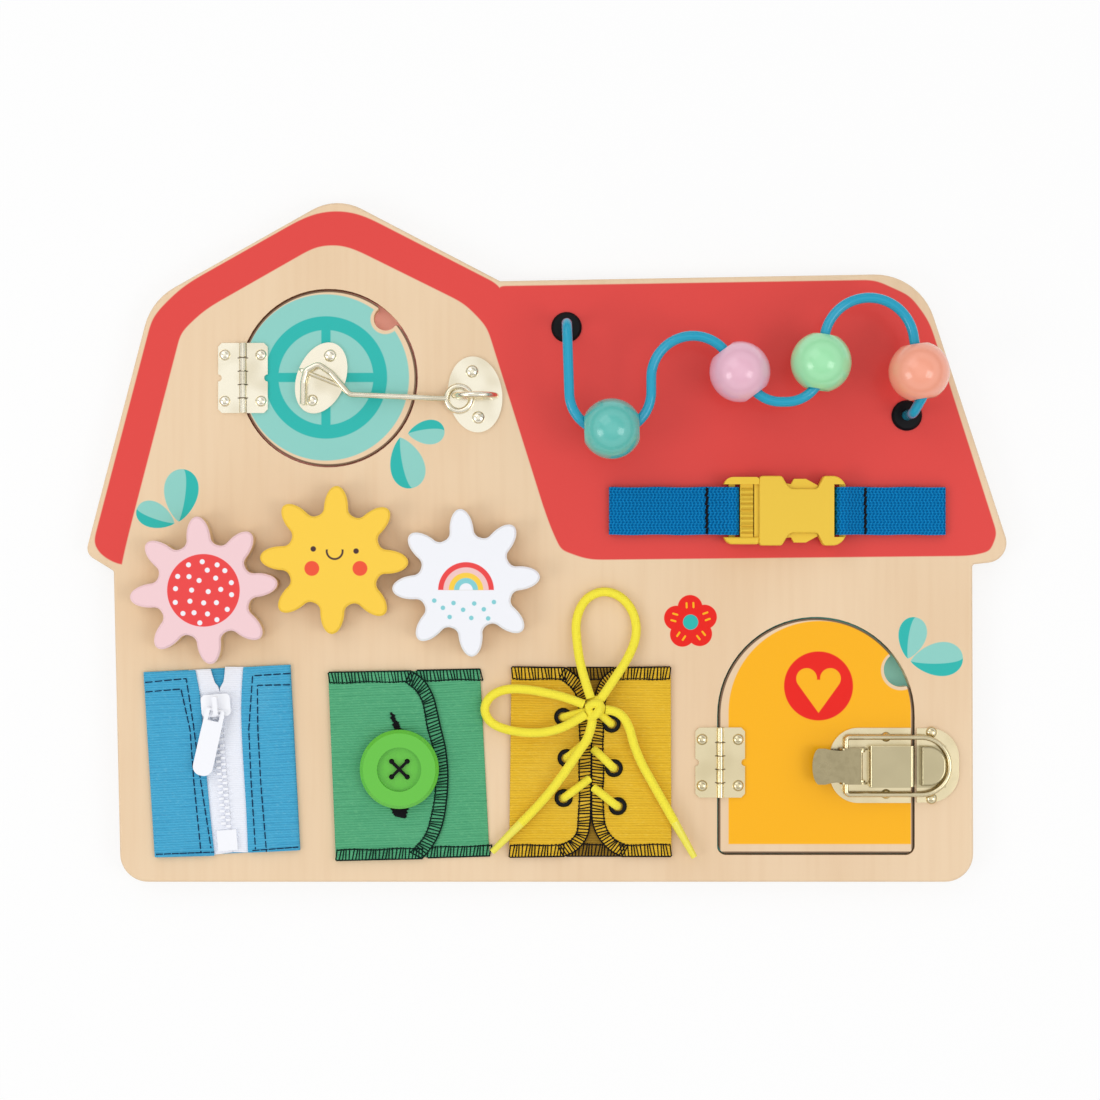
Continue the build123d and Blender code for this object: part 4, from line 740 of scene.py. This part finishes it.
def alongPath(points, t):  # a point at share t of a run of points, by length
    lengths = stepLengths(points)
    left = t * sum(lengths)
    for (a, b), length in zip(zip(points, points[1:]), lengths):
        if left <= length:
            return between(a, b, left / length)
        left -= length
    return points[-1]


def spanned(u, v, outerTop, outerFoot, inner, side):  # between a straight outer edge and a curved inner one
    outer, edge = between(outerFoot, outerTop, v), alongPath(inner, 1 - v)[:2]
    return between(outer, edge, u) if side < 0 else between(edge, outer, u)


def smoothPath(points, count=60):  # a curve through the points
    result = []
    padded = [points[0]] + list(points) + [points[-1]]
    spans = len(points) - 1
    for i in range(count + 1):
        u = i / count * spans
        k = min(int(u), spans - 1)
        t = u - k
        a, b, c, d = padded[k:k + 4]
        result.append(tuple(
            0.5 * ((2 * q) + (r - p) * t + (2 * p - 5 * q + 4 * r - s) * t * t
                   + (3 * q - p - 3 * r + s) * t ** 3)
            for p, q, r, s in zip(a, b, c, d)
        ))
    return result


# Overlock edge: a looped line on the cut edge, slanted strokes, and an inner scalloped line
overlockSizes = {
    "pitch": 1.34, "radius": 0.27, "edgeRadius": 0.36, "lift": 0.12, "over": 0.1, "slant": 0.7,
    "slantChange": 0.45, "reachChange": 0.18, "scallop": 0.35, "edgeOver": 0.12, "edgeSink": 0.25,
}


def overlockEdge(name, path, width, side, height, material):
    o = overlockSizes
    count = int(sum(stepLengths(path)) / o["pitch"])
    strokes, inner, outer = [], [], []
    z = height + o["lift"]
    for i in range(count + 1):
        t = i / count
        x, y = alongPath(path, t)[:2]
        ax, ay = alongPath(path, min(t + 0.01, 1.0))[:2]
        bx, by = alongPath(path, max(t - 0.01, 0.0))[:2]
        length = sqrt((ax - bx) ** 2 + (ay - by) ** 2)
        dx, dy = (ax - bx) / length, (ay - by) / length
        nx, ny = -dy * side, dx * side
        reach = width + o["reachChange"] * sin(i * 12.9898)
        slant = o["slant"] + o["slantChange"] * sin(i * 7.7)
        outEnd = (x - nx * o["over"], y - ny * o["over"], z)
        inEnd = (x + nx * reach + dx * slant, y + ny * reach + dy * slant, z)
        half, dip = o["pitch"] / 2, o["scallop"]
        dipped = (inEnd[0] - nx * dip + dx * half, inEnd[1] - ny * dip + dy * half, z)
        strokes.append([outEnd, inEnd])
        inner += [inEnd, dipped]
        edgeX, edgeY = x - nx * o["edgeOver"] + dx * 0.2, y - ny * o["edgeOver"] + dy * 0.2
        outer.append((edgeX, edgeY, height - o["edgeSink"] + 0.1 * sin(i * 3.1)))
    threadLine(name + "Strokes", strokes, o["radius"], material)
    threadLine(name + "Inner", [inner[:-1]], o["radius"], material)
    threadLine(name + "Outer", [outer], o["edgeRadius"], material)


# Seams: stitches that dip into the cloth at both ends
seamSizes = {"dash": 2.8, "gap": 0.45, "sink": 0.25, "lift": 0.18, "radius": 0.24, "steps": 200}


def dashes(path, height):
    s = seamSizes
    sunk = height - s["sink"]
    runs, run, showing, left = [], [], True, s["dash"]
    fine = [alongPath(path, i / s["steps"])[:2] for i in range(s["steps"] + 1)]
    for a, b in zip(fine, fine[1:]):
        if showing and not run:
            run = [(a[0], a[1], sunk)]
        if showing:
            run.append((b[0], b[1], height))
        left -= apart(a, b)
        if left <= 0:
            if showing:
                run[-1] = (b[0], b[1], sunk)
                runs.append(run)
                run = []
            showing = not showing
            left = s["dash"] if showing else s["gap"]
    if len(run) > 1:
        runs.append(run)
    return runs


# Green patch: a lower layer and the buttoned flap over it
greenPatch = {
    "corners": [(-91.0, -54.2), (-27.4, -52.9), (-23.4, -130.9), (-87.8, -132.7)],
    "flapEdge": [
        (-56.3, -53.6), (-51.0, -57.5), (-47.4, -63.5), (-45.6, -70.0), (-44.2, -76.5), (-42.0, -86.0),
        (-41.0, -97.0), (-41.6, -108.0), (-43.4, -118.0), (-46.9, -125.8), (-51.7, -131.9),
    ],
    "floor": 12.05, "thickness": 0.75, "flapThickness": 1.15, "band": 4.4, "flapBand": 5.2,
    "slits": [((-64.4, -71.4), (-61.2, -78.8), 0.5, 1.7), ((-61.2, -110.6), (-60.9, -114.4), 3.4, 2.2)],
    "baseTopFrom": (-54.0, -53.4), "baseFootFrom": (-49.5, -131.7),
    "slitSteps": 15, "slitThread": 0.45, "slitLift": 0.3, "ragged": 0.35,
}


def buildGreenPatch():
    g = greenPatch
    tl, tr, br, bl = g["corners"]
    top = g["floor"] + g["thickness"]

    def lower(u, v):
        left, right = between(bl, tl, v), between(br, tr, v)
        x, y = between(left, right, u)
        return x, y, top + 0.05 * sin(x * 0.4) * sin(y * 0.3)

    flapEdge = smoothPath(g["flapEdge"], 72)
    flapTop = top + g["flapThickness"]

    def upper(u, v):
        x, y = spanned(u, v, tl, bl, flapEdge, -1)
        puff = 0.12 * sin(x * 0.25 + y * 0.12) + 0.10 * sin(y * 0.21)
        return x, y, flapTop + puff * min(1.0, 6 * u * (1 - u))

    base = clothSheet("greenBase", 36, 44, lower, g["thickness"], greenCloth)
    flap = clothSheet("greenFlap", 40, 60, upper, g["flapThickness"], greenCloth)
    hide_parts("green_patch")
    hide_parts("green_flap")
    flapTopStart, flapFootStart = g["flapEdge"][0], g["flapEdge"][-1]
    overlockEdge("greenTopLeft", [tl, flapTopStart], g["band"], -1, flapTop, darkGreenThread)
    overlockEdge("greenTopRight", [g["baseTopFrom"], tr], g["band"], -1, top, darkGreenThread)
    overlockEdge("greenFootLeft", [bl, flapFootStart], g["band"], 1, flapTop, darkGreenThread)
    overlockEdge("greenFootRight", [g["baseFootFrom"], br], g["band"], 1, top, darkGreenThread)
    overlockEdge("greenFlapEdge", flapEdge, g["flapBand"], -1, flapTop + 0.05, darkGreenThread)
    slit = []
    for foot, tip, footHalf, tipHalf in g["slits"]:
        for i in range(g["slitSteps"] + 1):
            t = i / g["slitSteps"]
            x, y = between(foot, tip, t)
            half = footHalf + (tipHalf - footHalf) * t + g["ragged"] * sin(i * 2.1)
            x += g["ragged"] * sin(i * 7.3)
            z = flapTop + g["slitLift"]
            slit.append([(x - half, y + 0.5, z), (x + half, y - 0.4, z)])
    threadLine("buttonholeThread", slit, g["slitThread"], blackThread)
    print("green patch")


# Yellow patch: a lower layer and two laced flaps
yellowPatch = {
    "corners": [(-14.2, -51.9), (52.6, -51.9), (52.9, -131.0), (-15.2, -131.3)],
    "leftEdge": [
        (8.1, -52.2), (13.2, -55.9), (16.5, -60.4), (18.3, -66.0), (19.0, -73.8), (19.1, -84.0),
        (19.0, -95.0), (18.9, -106.0), (18.6, -116.4), (17.2, -123.1), (13.2, -128.2), (7.6, -131.0),
    ],
    "rightEdge": [
        (29.4, -52.2), (24.4, -56.2), (21.8, -61.0), (20.4, -67.1), (19.7, -73.8), (19.6, -84.0),
        (19.6, -95.0), (19.6, -106.0), (19.9, -116.4), (22.5, -123.1), (27.0, -128.2), (32.2, -131.0),
    ],
    "floor": 12.05, "thickness": 0.75, "flapThickness": 1.15, "band": 5.0, "flapBand": 4.9,
    "baseTop": [(9.0, -52.2), (28.6, -52.2)], "baseFoot": [(8.6, -131.0), (31.4, -131.0)],
}


def buildYellowPatch():
    g = yellowPatch
    tl, tr, br, bl = g["corners"]
    top = g["floor"] + g["thickness"]
    flapTop = top + g["flapThickness"]

    def lower(u, v):
        x, y = between(between(bl, tl, v), between(br, tr, v), u)
        return x, y, top

    # the lower layer takes the darker copy of the cloth: painted shade
    base = clothSheet("yellowBase", 30, 36, lower, g["thickness"], mustardPaintedShade)
    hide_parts("yellow_patch")
    for name, outerTop, outerFoot, edge, side in (
        ("yellowLeftFlap", tl, bl, g["leftEdge"], -1), ("yellowRightFlap", tr, br, g["rightEdge"], 1),
    ):
        curve = smoothPath(edge, 80)

        def upper(u, v, a=outerTop, b=outerFoot, path=curve, s=side):
            x, y = spanned(u, v, a, b, path, s)
            return x, y, flapTop + 0.08 * sin(x * 0.3 + y * 0.15) * min(1.0, 6 * u * (1 - u))

        flap = clothSheet(name, 28, 60, upper, g["flapThickness"], mustardCloth)
        overlockEdge(name + "Edge", curve, g["flapBand"], side, flapTop + 0.05, blackThread)
        overlockEdge(name + "Top", [outerTop, edge[0]], g["band"], side, flapTop, blackThread)
        overlockEdge(name + "Foot", [outerFoot, edge[-1]], g["band"], -side, flapTop, blackThread)
    overlockEdge("yellowBaseTop", g["baseTop"], g["band"], -1, top, blackThread)
    overlockEdge("yellowBaseFoot", g["baseFoot"], g["band"], 1, top, blackThread)
    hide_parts("yellow_flaps")
    print("yellow patch")


# Blue patch: two cloth sides over white tapes, on a blue lining
bluePatch = {
    "corners": [(-168.6, -54.0), (-106.9, -50.8), (-102.8, -128.6), (-163.9, -131.6)],
    "leftInner": [(-146.6, -53.0), (-144.4, -66.0), (-143.0, -84.0), (-140.8, -110.0), (-138.6, -130.9)],
    "rightInner": [(-126.6, -51.8), (-127.4, -66.0), (-127.0, -84.0), (-125.4, -110.0), (-124.6, -129.6)],
    "floor": 12.05, "lining": 0.5, "tapeTop": 13.4, "clothTop": 14.2, "clothThickness": 0.85,
    "leftVee": [(-140.3, -52.6), (-138.6, -58.0), (-136.3, -63.4), (-133.9, -90.0), (-130.7, -129.4)],
    "rightVee": [(-134.2, -51.6), (-134.9, -58.0), (-136.5, -63.4), (-134.3, -90.0), (-131.1, -129.4)],
    "seams": [
        [(-167.6, -58.2), (-150.4, -56.6), (-147.4, -76.0), (-144.6, -98.0), (-140.0, -127.6)],
        [(-167.4, -62.2), (-152.6, -61.0), (-148.8, -78.0), (-147.2, -100.0), (-144.2, -129.6)],
        [(-106.8, -54.4), (-122.6, -55.4), (-124.2, -78.0), (-123.2, -100.0), (-121.4, -128.0)],
        [(-107.0, -59.2), (-120.6, -59.4), (-120.4, -78.0), (-119.2, -100.0), (-116.8, -129.2)],
        [(-163.0, -130.2), (-138.6, -129.2)], [(-122.6, -128.6), (-103.4, -127.2)],
    ],
}


def buildBluePatch():
    g = bluePatch
    tl, tr, br, bl = g["corners"]
    liningTop = g["floor"] + g["lining"]

    def lining(u, v):
        x, y = between(between(bl, tl, v), between(br, tr, v), u)
        return x, y, liningTop

    base = clothSheet("blueLining", 24, 30, lining, g["lining"], blueCloth, 0.15)
    for name, outerTop, outerFoot, inner, side in (
        ("blueLeft", tl, bl, g["leftInner"], -1), ("blueRight", tr, br, g["rightInner"], 1),
    ):
        curve = smoothPath(inner, 60)

        def upper(u, v, a=outerTop, b=outerFoot, path=curve, s=side):
            x, y = spanned(u, v, a, b, path, s)
            outside = u if s < 0 else 1 - u
            fall = (g["clothTop"] - liningTop - g["clothThickness"] - 0.02) * max(0.0, 1 - outside * 9) ** 2
            return x, y, g["clothTop"] - fall + 0.1 * sin(x * 0.3 + y * 0.2) * outside * (1 - outside) * 4

        panel = clothSheet(name, 30, 50, upper, g["clothThickness"], blueCloth)
        width = 0.0245 if side < 0 else 0.0215
    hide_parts("zip_patch")
    for name, vee, inner, side in (
        ("zipLeftTape", g["leftVee"], g["leftInner"], -1),
        ("zipRightTape", g["rightVee"], g["rightInner"], 1),
    ):
        seam, hidden = smoothPath(vee, 60), smoothPath(inner, 60)

        def tape(u, v, a=seam, b=hidden, s=side):
            middle = alongPath(a, 1 - v)[:2]
            far = alongPath(b, 1 - v)[:2]
            far = (far[0] + s * 3.0, far[1])
            x, y = between(far, middle, u) if s < 0 else between(middle, far, u)
            near = u if s < 0 else 1 - u
            return x, y, g["tapeTop"] - 0.35 * (1 - near) ** 3 + (0.35 if v > 0.86 else 0.0) * near

        piece = clothSheet(name, 10, 50, tape, 0.5, whiteTape, 0.12)
    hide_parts("zip_tapes")
    runs = []
    for seam in g["seams"]:
        runs += dashes(seam, g["clothTop"] + seamSizes["lift"])
    threadLine("navySeams", runs, seamSizes["radius"], navyThread)
    print("blue patch")


# Straps: webbing folded round a bar, doubled, and folded under at the screwed end
strapSizes = {
    "middle": 13.6, "width": 20.0, "thickness": 1.45, "upper": 14.3, "lower": 12.75, "releasedShare": 0.49,
    "barZ": 17.6, "wrap": 2.5, "wrapFrom": -125, "wrapTurn": 250, "wrapSteps": 16,
    "seamHalf": 9.0, "seamSteps": 15, "seamLift": 1.05, "seamThread": 0.6,
    "left": {"bar": 77.8, "far": 26.9, "side": -1, "seam": 67.6, "replaces": "left_strap"},
    "right": {"bar": 123.93, "far": 167.6, "side": 1, "seam": 133.8, "replaces": "right_strap"},
}


def buildStraps():
    s = strapSizes
    for name in ("left", "right"):
        facts = s[name]
        side, bar, end = facts["side"], facts["bar"], facts["far"]
        profile = []
        for i in range(s["wrapSteps"] + 1):  # round the bar, from underneath to on top
            a = radians(s["wrapFrom"] + s["wrapTurn"] * i / s["wrapSteps"])
            profile.append((bar - side * s["wrap"] * cos(a), s["barZ"] + s["wrap"] * sin(a)))
        profile += [
            (bar + side * 4.6, 17.4), (bar + side * 8.0, 15.2), (bar + side * 12.0, s["upper"] + 0.1),
            (bar + side * 22.0, s["upper"]), (end - side * 6.0, s["upper"]), (end - side * 1.3, s["upper"]),
            (end - side * 0.5, 13.55), (end - side * 1.3, s["lower"]), (end - side * 8.0, s["lower"]),
            (bar + side * 16.0, s["lower"]), (bar + side * 8.0, s["lower"] + 0.05),
            (bar + side * 4.4, s["lower"] + 0.9),
        ]
        path = smoothPath(profile, 130)
        length = sum(stepLengths(path))

        def web(u, v, line=path):
            x, z = alongPath(line, v)
            across = (u - 0.5) * s["width"]
            return x, s["middle"] + across + 0.12 * sin(x * 0.3), z

        strap = clothSheet(name + "Strap", 10, 150, web, s["thickness"], webMaterial, 0.3, 0)
        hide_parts(facts["replaces"])
        anchor = mm(end, s["middle"], s["upper"])
        if name == "left":
            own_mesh(strap)
        stitch = []
        for i in range(s["seamSteps"] + 1):
            y = s["middle"] - s["seamHalf"] + 2 * s["seamHalf"] * i / s["seamSteps"]
            x = facts["seam"] + 0.25 * sin(i * 2.3)
            z = s["upper"] + s["seamLift"]
            stitch.append([(x - 0.2, y - 0.6, z), (x + 0.25, y + 0.7, z)])
        thread = threadLine(name + "StrapStitch", stitch, s["seamThread"], blackThread)
        if name == "left":
            onlyObject(thread)
            bpy.ops.object.convert(target="MESH")
            thread = bpy.context.active_object
            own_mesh(thread)
    print("straps")


# Lace: the bow's loops and tails as free cords, and the tight crossings between the eyelets
laceSizes = {
    "radius": 1.9, "crossRadius": 1.75,
    "loops": {
        "laceTopLoop": ("lace_top_loop", 0.1081, [
            (18.9, -64.43, 18.6), (14.9, -52.5, 18.2), (13.2, -41.5, 15.6), (12.6, -32.0, 14.6),
            (16.2, -23.4, 14.2), (23.6, -19.6, 14.2), (31.4, -21.6, 14.2), (37.2, -28.6, 14.2),
            (38.6, -38.2, 14.6), (34.8, -47.8, 16.4), (28.9, -56.4, 18.6), (23.05, -65.0, 18.7),
        ]),
        "laceLeftLoop": ("lace_left_loop", 0.0956, [
            (16.03, -67.11, 18.93), (9.4, -64.4, 19.2), (1.2, -62.4, 19.0), (-7.6, -60.8, 18.4),
            (-16.6, -60.6, 17.2), (-23.4, -63.8, 15.8), (-26.0, -69.6, 15.2), (-23.0, -75.2, 15.6),
            (-16.0, -78.0, 17.0), (-6.6, -79.2, 18.6), (2.4, -78.4, 20.6), (10.2, -75.3, 22.2),
            (16.56, -71.31, 20.05),
        ]),
        "laceLeftTail": ("lace_left_tail", 0.0539, [
            (19.66, -73.52, 19.38), (18.6, -80.2, 20.3), (13.2, -87.6, 21.0), (8.0, -95.6, 19.4),
            (1.8, -104.0, 17.4), (-4.4, -111.2, 16.2), (-10.2, -117.0, 16.1),
        ]),
        "laceRightTail": ("lace_right_tail", 0.0576, [
            (25.1, -69.3, 18.7), (28.6, -69.6, 18.6), (32.8, -72.2, 18.5), (35.4, -77.6, 18.2),
            (36.8, -83.6, 17.4), (40.0, -91.6, 16.4), (44.6, -99.8, 16.1), (49.6, -108.6, 16.1),
            (54.0, -116.4, 16.1),
        ]),
    },
    "crossings": [
        [(7.47, -72.7, 12.6), (7.6, -72.7, 15.4), (9.6, -72.1, 16.7), (17.4, -69.8, 17.6)],
        [
            (8.88, -89.9, 12.6), (9.1, -89.7, 15.4), (11.4, -87.8, 16.6),
            (15.2, -84.5, 16.0), (18.2, -82.0, 13.8),
        ],
        [
            (7.67, -106.6, 12.6), (7.9, -106.4, 15.4), (10.4, -104.4, 16.6),
            (14.8, -101.2, 16.0), (18.3, -98.6, 13.8),
        ],
        [(27.77, -75.47, 12.6), (27.6, -75.3, 15.4), (26.2, -74.1, 16.7), (23.0, -71.2, 17.6)],
        [
            (28.71, -94.1, 12.6), (28.5, -93.9, 15.4), (26.4, -91.8, 16.6),
            (23.4, -88.8, 16.0), (20.2, -86.2, 13.8),
        ],
        [
            (30.32, -110.05, 12.6), (30.1, -109.9, 15.4), (28.0, -108.3, 16.6),
            (24.0, -105.0, 16.0), (20.3, -102.4, 13.8),
        ],
    ],
    "knotTurns": [
        (17.2, -71.4, 16.4), (18.2, -72.6, 19.4), (20.8, -71.8, 21.6), (22.6, -68.8, 21.9),
        (22.6, -66.0, 20.0), (21.2, -65.0, 17.2), (18.9, -66.4, 16.2), (18.0, -68.6, 18.4),
        (18.6, -70.6, 20.6), (21.0, -71.6, 19.6), (23.2, -70.2, 17.4), (23.6, -68.2, 19.4),
        (22.0, -66.6, 21.4), (19.6, -66.6, 21.2), (17.8, -68.4, 19.8),
    ],
}


def buildLaces():
    s = laceSizes
    for name, (node, length, route) in s["loops"].items():
        piece = roundCord(name, [route], s["radius"], lace)
        mm(*route[0])
        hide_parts(node)
    crossings = roundCord("laceCrossings", s["crossings"], s["crossRadius"], lace)
    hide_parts("lace_crossings")
    knot = roundCord("laceKnot", [s["knotTurns"]], s["crossRadius"], lace)
    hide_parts("lace_knot")
    print("laces")


# Domed heads over the plain screws
screwDomes = {
    "height": 1.6,
    "board": [
        (-134.45, 59.73, 12.8, 2.4), (-134.45, 79.13, 12.8, 2.4), (65.75, -101.58, 12.8, 2.4),
        (65.75, -82.18, 12.8, 2.4), (-30.72, 72.19, 13.0, 2.7), (-28.07, 52.87, 13.0, 2.7),
        (162.0, -106.98, 12.8, 2.4), (162.0, -79.18, 12.8, 2.4),
    ],
    "window": [
        (-119.25, 59.73, 12.8, 2.4), (-119.25, 79.13, 12.8, 2.4), (-90.26, 78.81, 13.0, 2.7),
        (-97.73, 60.04, 13.0, 2.5),
    ],
    "door": [(80.95, -101.58, 12.8, 2.4), (80.95, -82.18, 12.8, 2.4)],
}


def buildScrewDomes():
    for body in ("board", "window", "door"):
        domes = []
        for x, y, z, radius in screwDomes[body]:
            bpy.ops.object.select_all(action="DESELECT")
            bpy.ops.mesh.primitive_uv_sphere_add(segments=28, ring_count=14, radius=1.0, location=mm(x, y, z))
            dome = bpy.context.active_object
            dome.scale = mm(radius, radius, screwDomes["height"])
            domes.append(dome)
        onlyObject(domes[0])
        for dome in domes:
            dome.select_set(True)
        bpy.ops.object.join()
        domes[0].name = body + "ScrewDomes"
        settle(domes[0], paleBrass, body)
    print("screw domes")


buildGreenPatch()
buildYellowPatch()
buildBluePatch()
buildStraps()
buildLaces()
buildScrewDomes()


# Floor, sky, lights and camera. A light has a place, a power in watts and a size
plainWhite = (1.0, 1.0, 1.0, 1.0)
studio = {
    "floorColour": (0.94, 0.94, 0.94, 1.0), "floorSize": 12.0, "floorRoughness": 0.9, "floorGlow": 0.8,
    "worldStrength": 1.0,
    "skyBands": [
        (0.0, 0.3), (1.0, 1.0), (0.16, 0.15), (0.32, 0.9), (0.6, 1.0), (0.74, 0.35), (0.88, 0.6), (0.97, 1.0),
    ],
    "lights": {
        "keyLight": ((-0.75, 0.95, 1.5), 4.0, 1.1), "fillLight": ((0.95, -0.3, 1.35), 4.2, 0.66),
        "sideLight": ((-1.2, -0.45, 1.2), 4.2, 0.66),
    },
    "lens": 80.3, "sensor": 36.0, "cameraPlace": (0.00197, -0.00273, 1.042),
}


def buildFloor():  # grey paper that the camera sees as white
    bpy.ops.object.select_all(action="DESELECT")
    bpy.ops.mesh.primitive_plane_add(size=studio["floorSize"], location=(0, 0, 0))
    floor = bpy.context.active_object
    floor.name = "studioFloor"
    material = bpy.data.materials.new("floorPaper")
    material.use_nodes = True
    tree = material.node_tree
    shader = tree.nodes["Principled BSDF"]
    shader.inputs["Base Color"].default_value = studio["floorColour"]
    shader.inputs["Roughness"].default_value = studio["floorRoughness"]
    seen = addNode(tree, "ShaderNodeLightPath").outputs["Is Camera Ray"]
    share = addNode(tree, "ShaderNodeMath", {"operation": "MULTIPLY"}, {0: seen, 1: studio["floorGlow"]})
    glow = addNode(tree, "ShaderNodeEmission", None, {"Color": plainWhite})
    inputs = {0: share.outputs[0], 1: shader.outputs[0], 2: glow.outputs[0]}
    mixer = addNode(tree, "ShaderNodeMixShader", None, inputs)
    tree.links.new(mixer.outputs[0], tree.nodes["Material Output"].inputs["Surface"])
    floor.data.materials.append(material)


def buildSky():  # bright and dark bands for the metal to mirror, and plain white for the camera
    world = bpy.data.worlds.new("studioWorld")
    bpy.context.scene.world = world
    world.use_nodes = True
    tree = world.node_tree
    way = addNode(tree, "ShaderNodeTexCoord").outputs["Generated"]
    height = addNode(tree, "ShaderNodeSeparateXYZ", None, {0: way}).outputs[2]
    bands = addNode(tree, "ShaderNodeValToRGB", None, {"Fac": height})
    stops = bands.color_ramp.elements
    for i, (place, level) in enumerate(studio["skyBands"]):
        stop = stops[i] if i < 2 else stops.new(place)
        stop.position = place
        stop.color = (level, level, level, 1.0)
    inputs = {0: bands.outputs[0], 1: studio["worldStrength"]}
    strength = addNode(tree, "ShaderNodeMath", {"operation": "MULTIPLY"}, inputs)
    sky = tree.nodes["Background"]
    sky.inputs["Color"].default_value = plainWhite
    tree.links.new(strength.outputs[0], sky.inputs["Strength"])
    back = addNode(tree, "ShaderNodeBackground", None, {"Color": plainWhite})
    seen = addNode(tree, "ShaderNodeLightPath").outputs["Is Camera Ray"]
    chosen = addNode(tree, "ShaderNodeMixShader", None, {0: seen, 1: sky.outputs[0], 2: back.outputs[0]})
    tree.links.new(chosen.outputs[0], tree.nodes["World Output"].inputs["Surface"])


def buildLights():
    for name, (place, power, size) in studio["lights"].items():
        light = bpy.data.lights.new(name, "AREA")
        light.energy = power
        light.size = size
        lamp = bpy.data.objects.new(name, light)
        bpy.context.collection.objects.link(lamp)
        lamp.location = place
        lamp.rotation_euler = (-Vector(place)).to_track_quat("-Z", "Y").to_euler()


def buildCamera():
    eye = bpy.data.cameras.new("photoCamera")
    eye.lens = studio["lens"]
    eye.sensor_width = studio["sensor"]
    camera = bpy.data.objects.new("photoCamera", eye)
    bpy.context.collection.objects.link(camera)
    camera.location = studio["cameraPlace"]
    bpy.context.scene.camera = camera
    bpy.context.scene.view_settings.view_transform = "Standard"


buildFloor()
buildSky()
buildLights()
buildCamera()
print("studio")
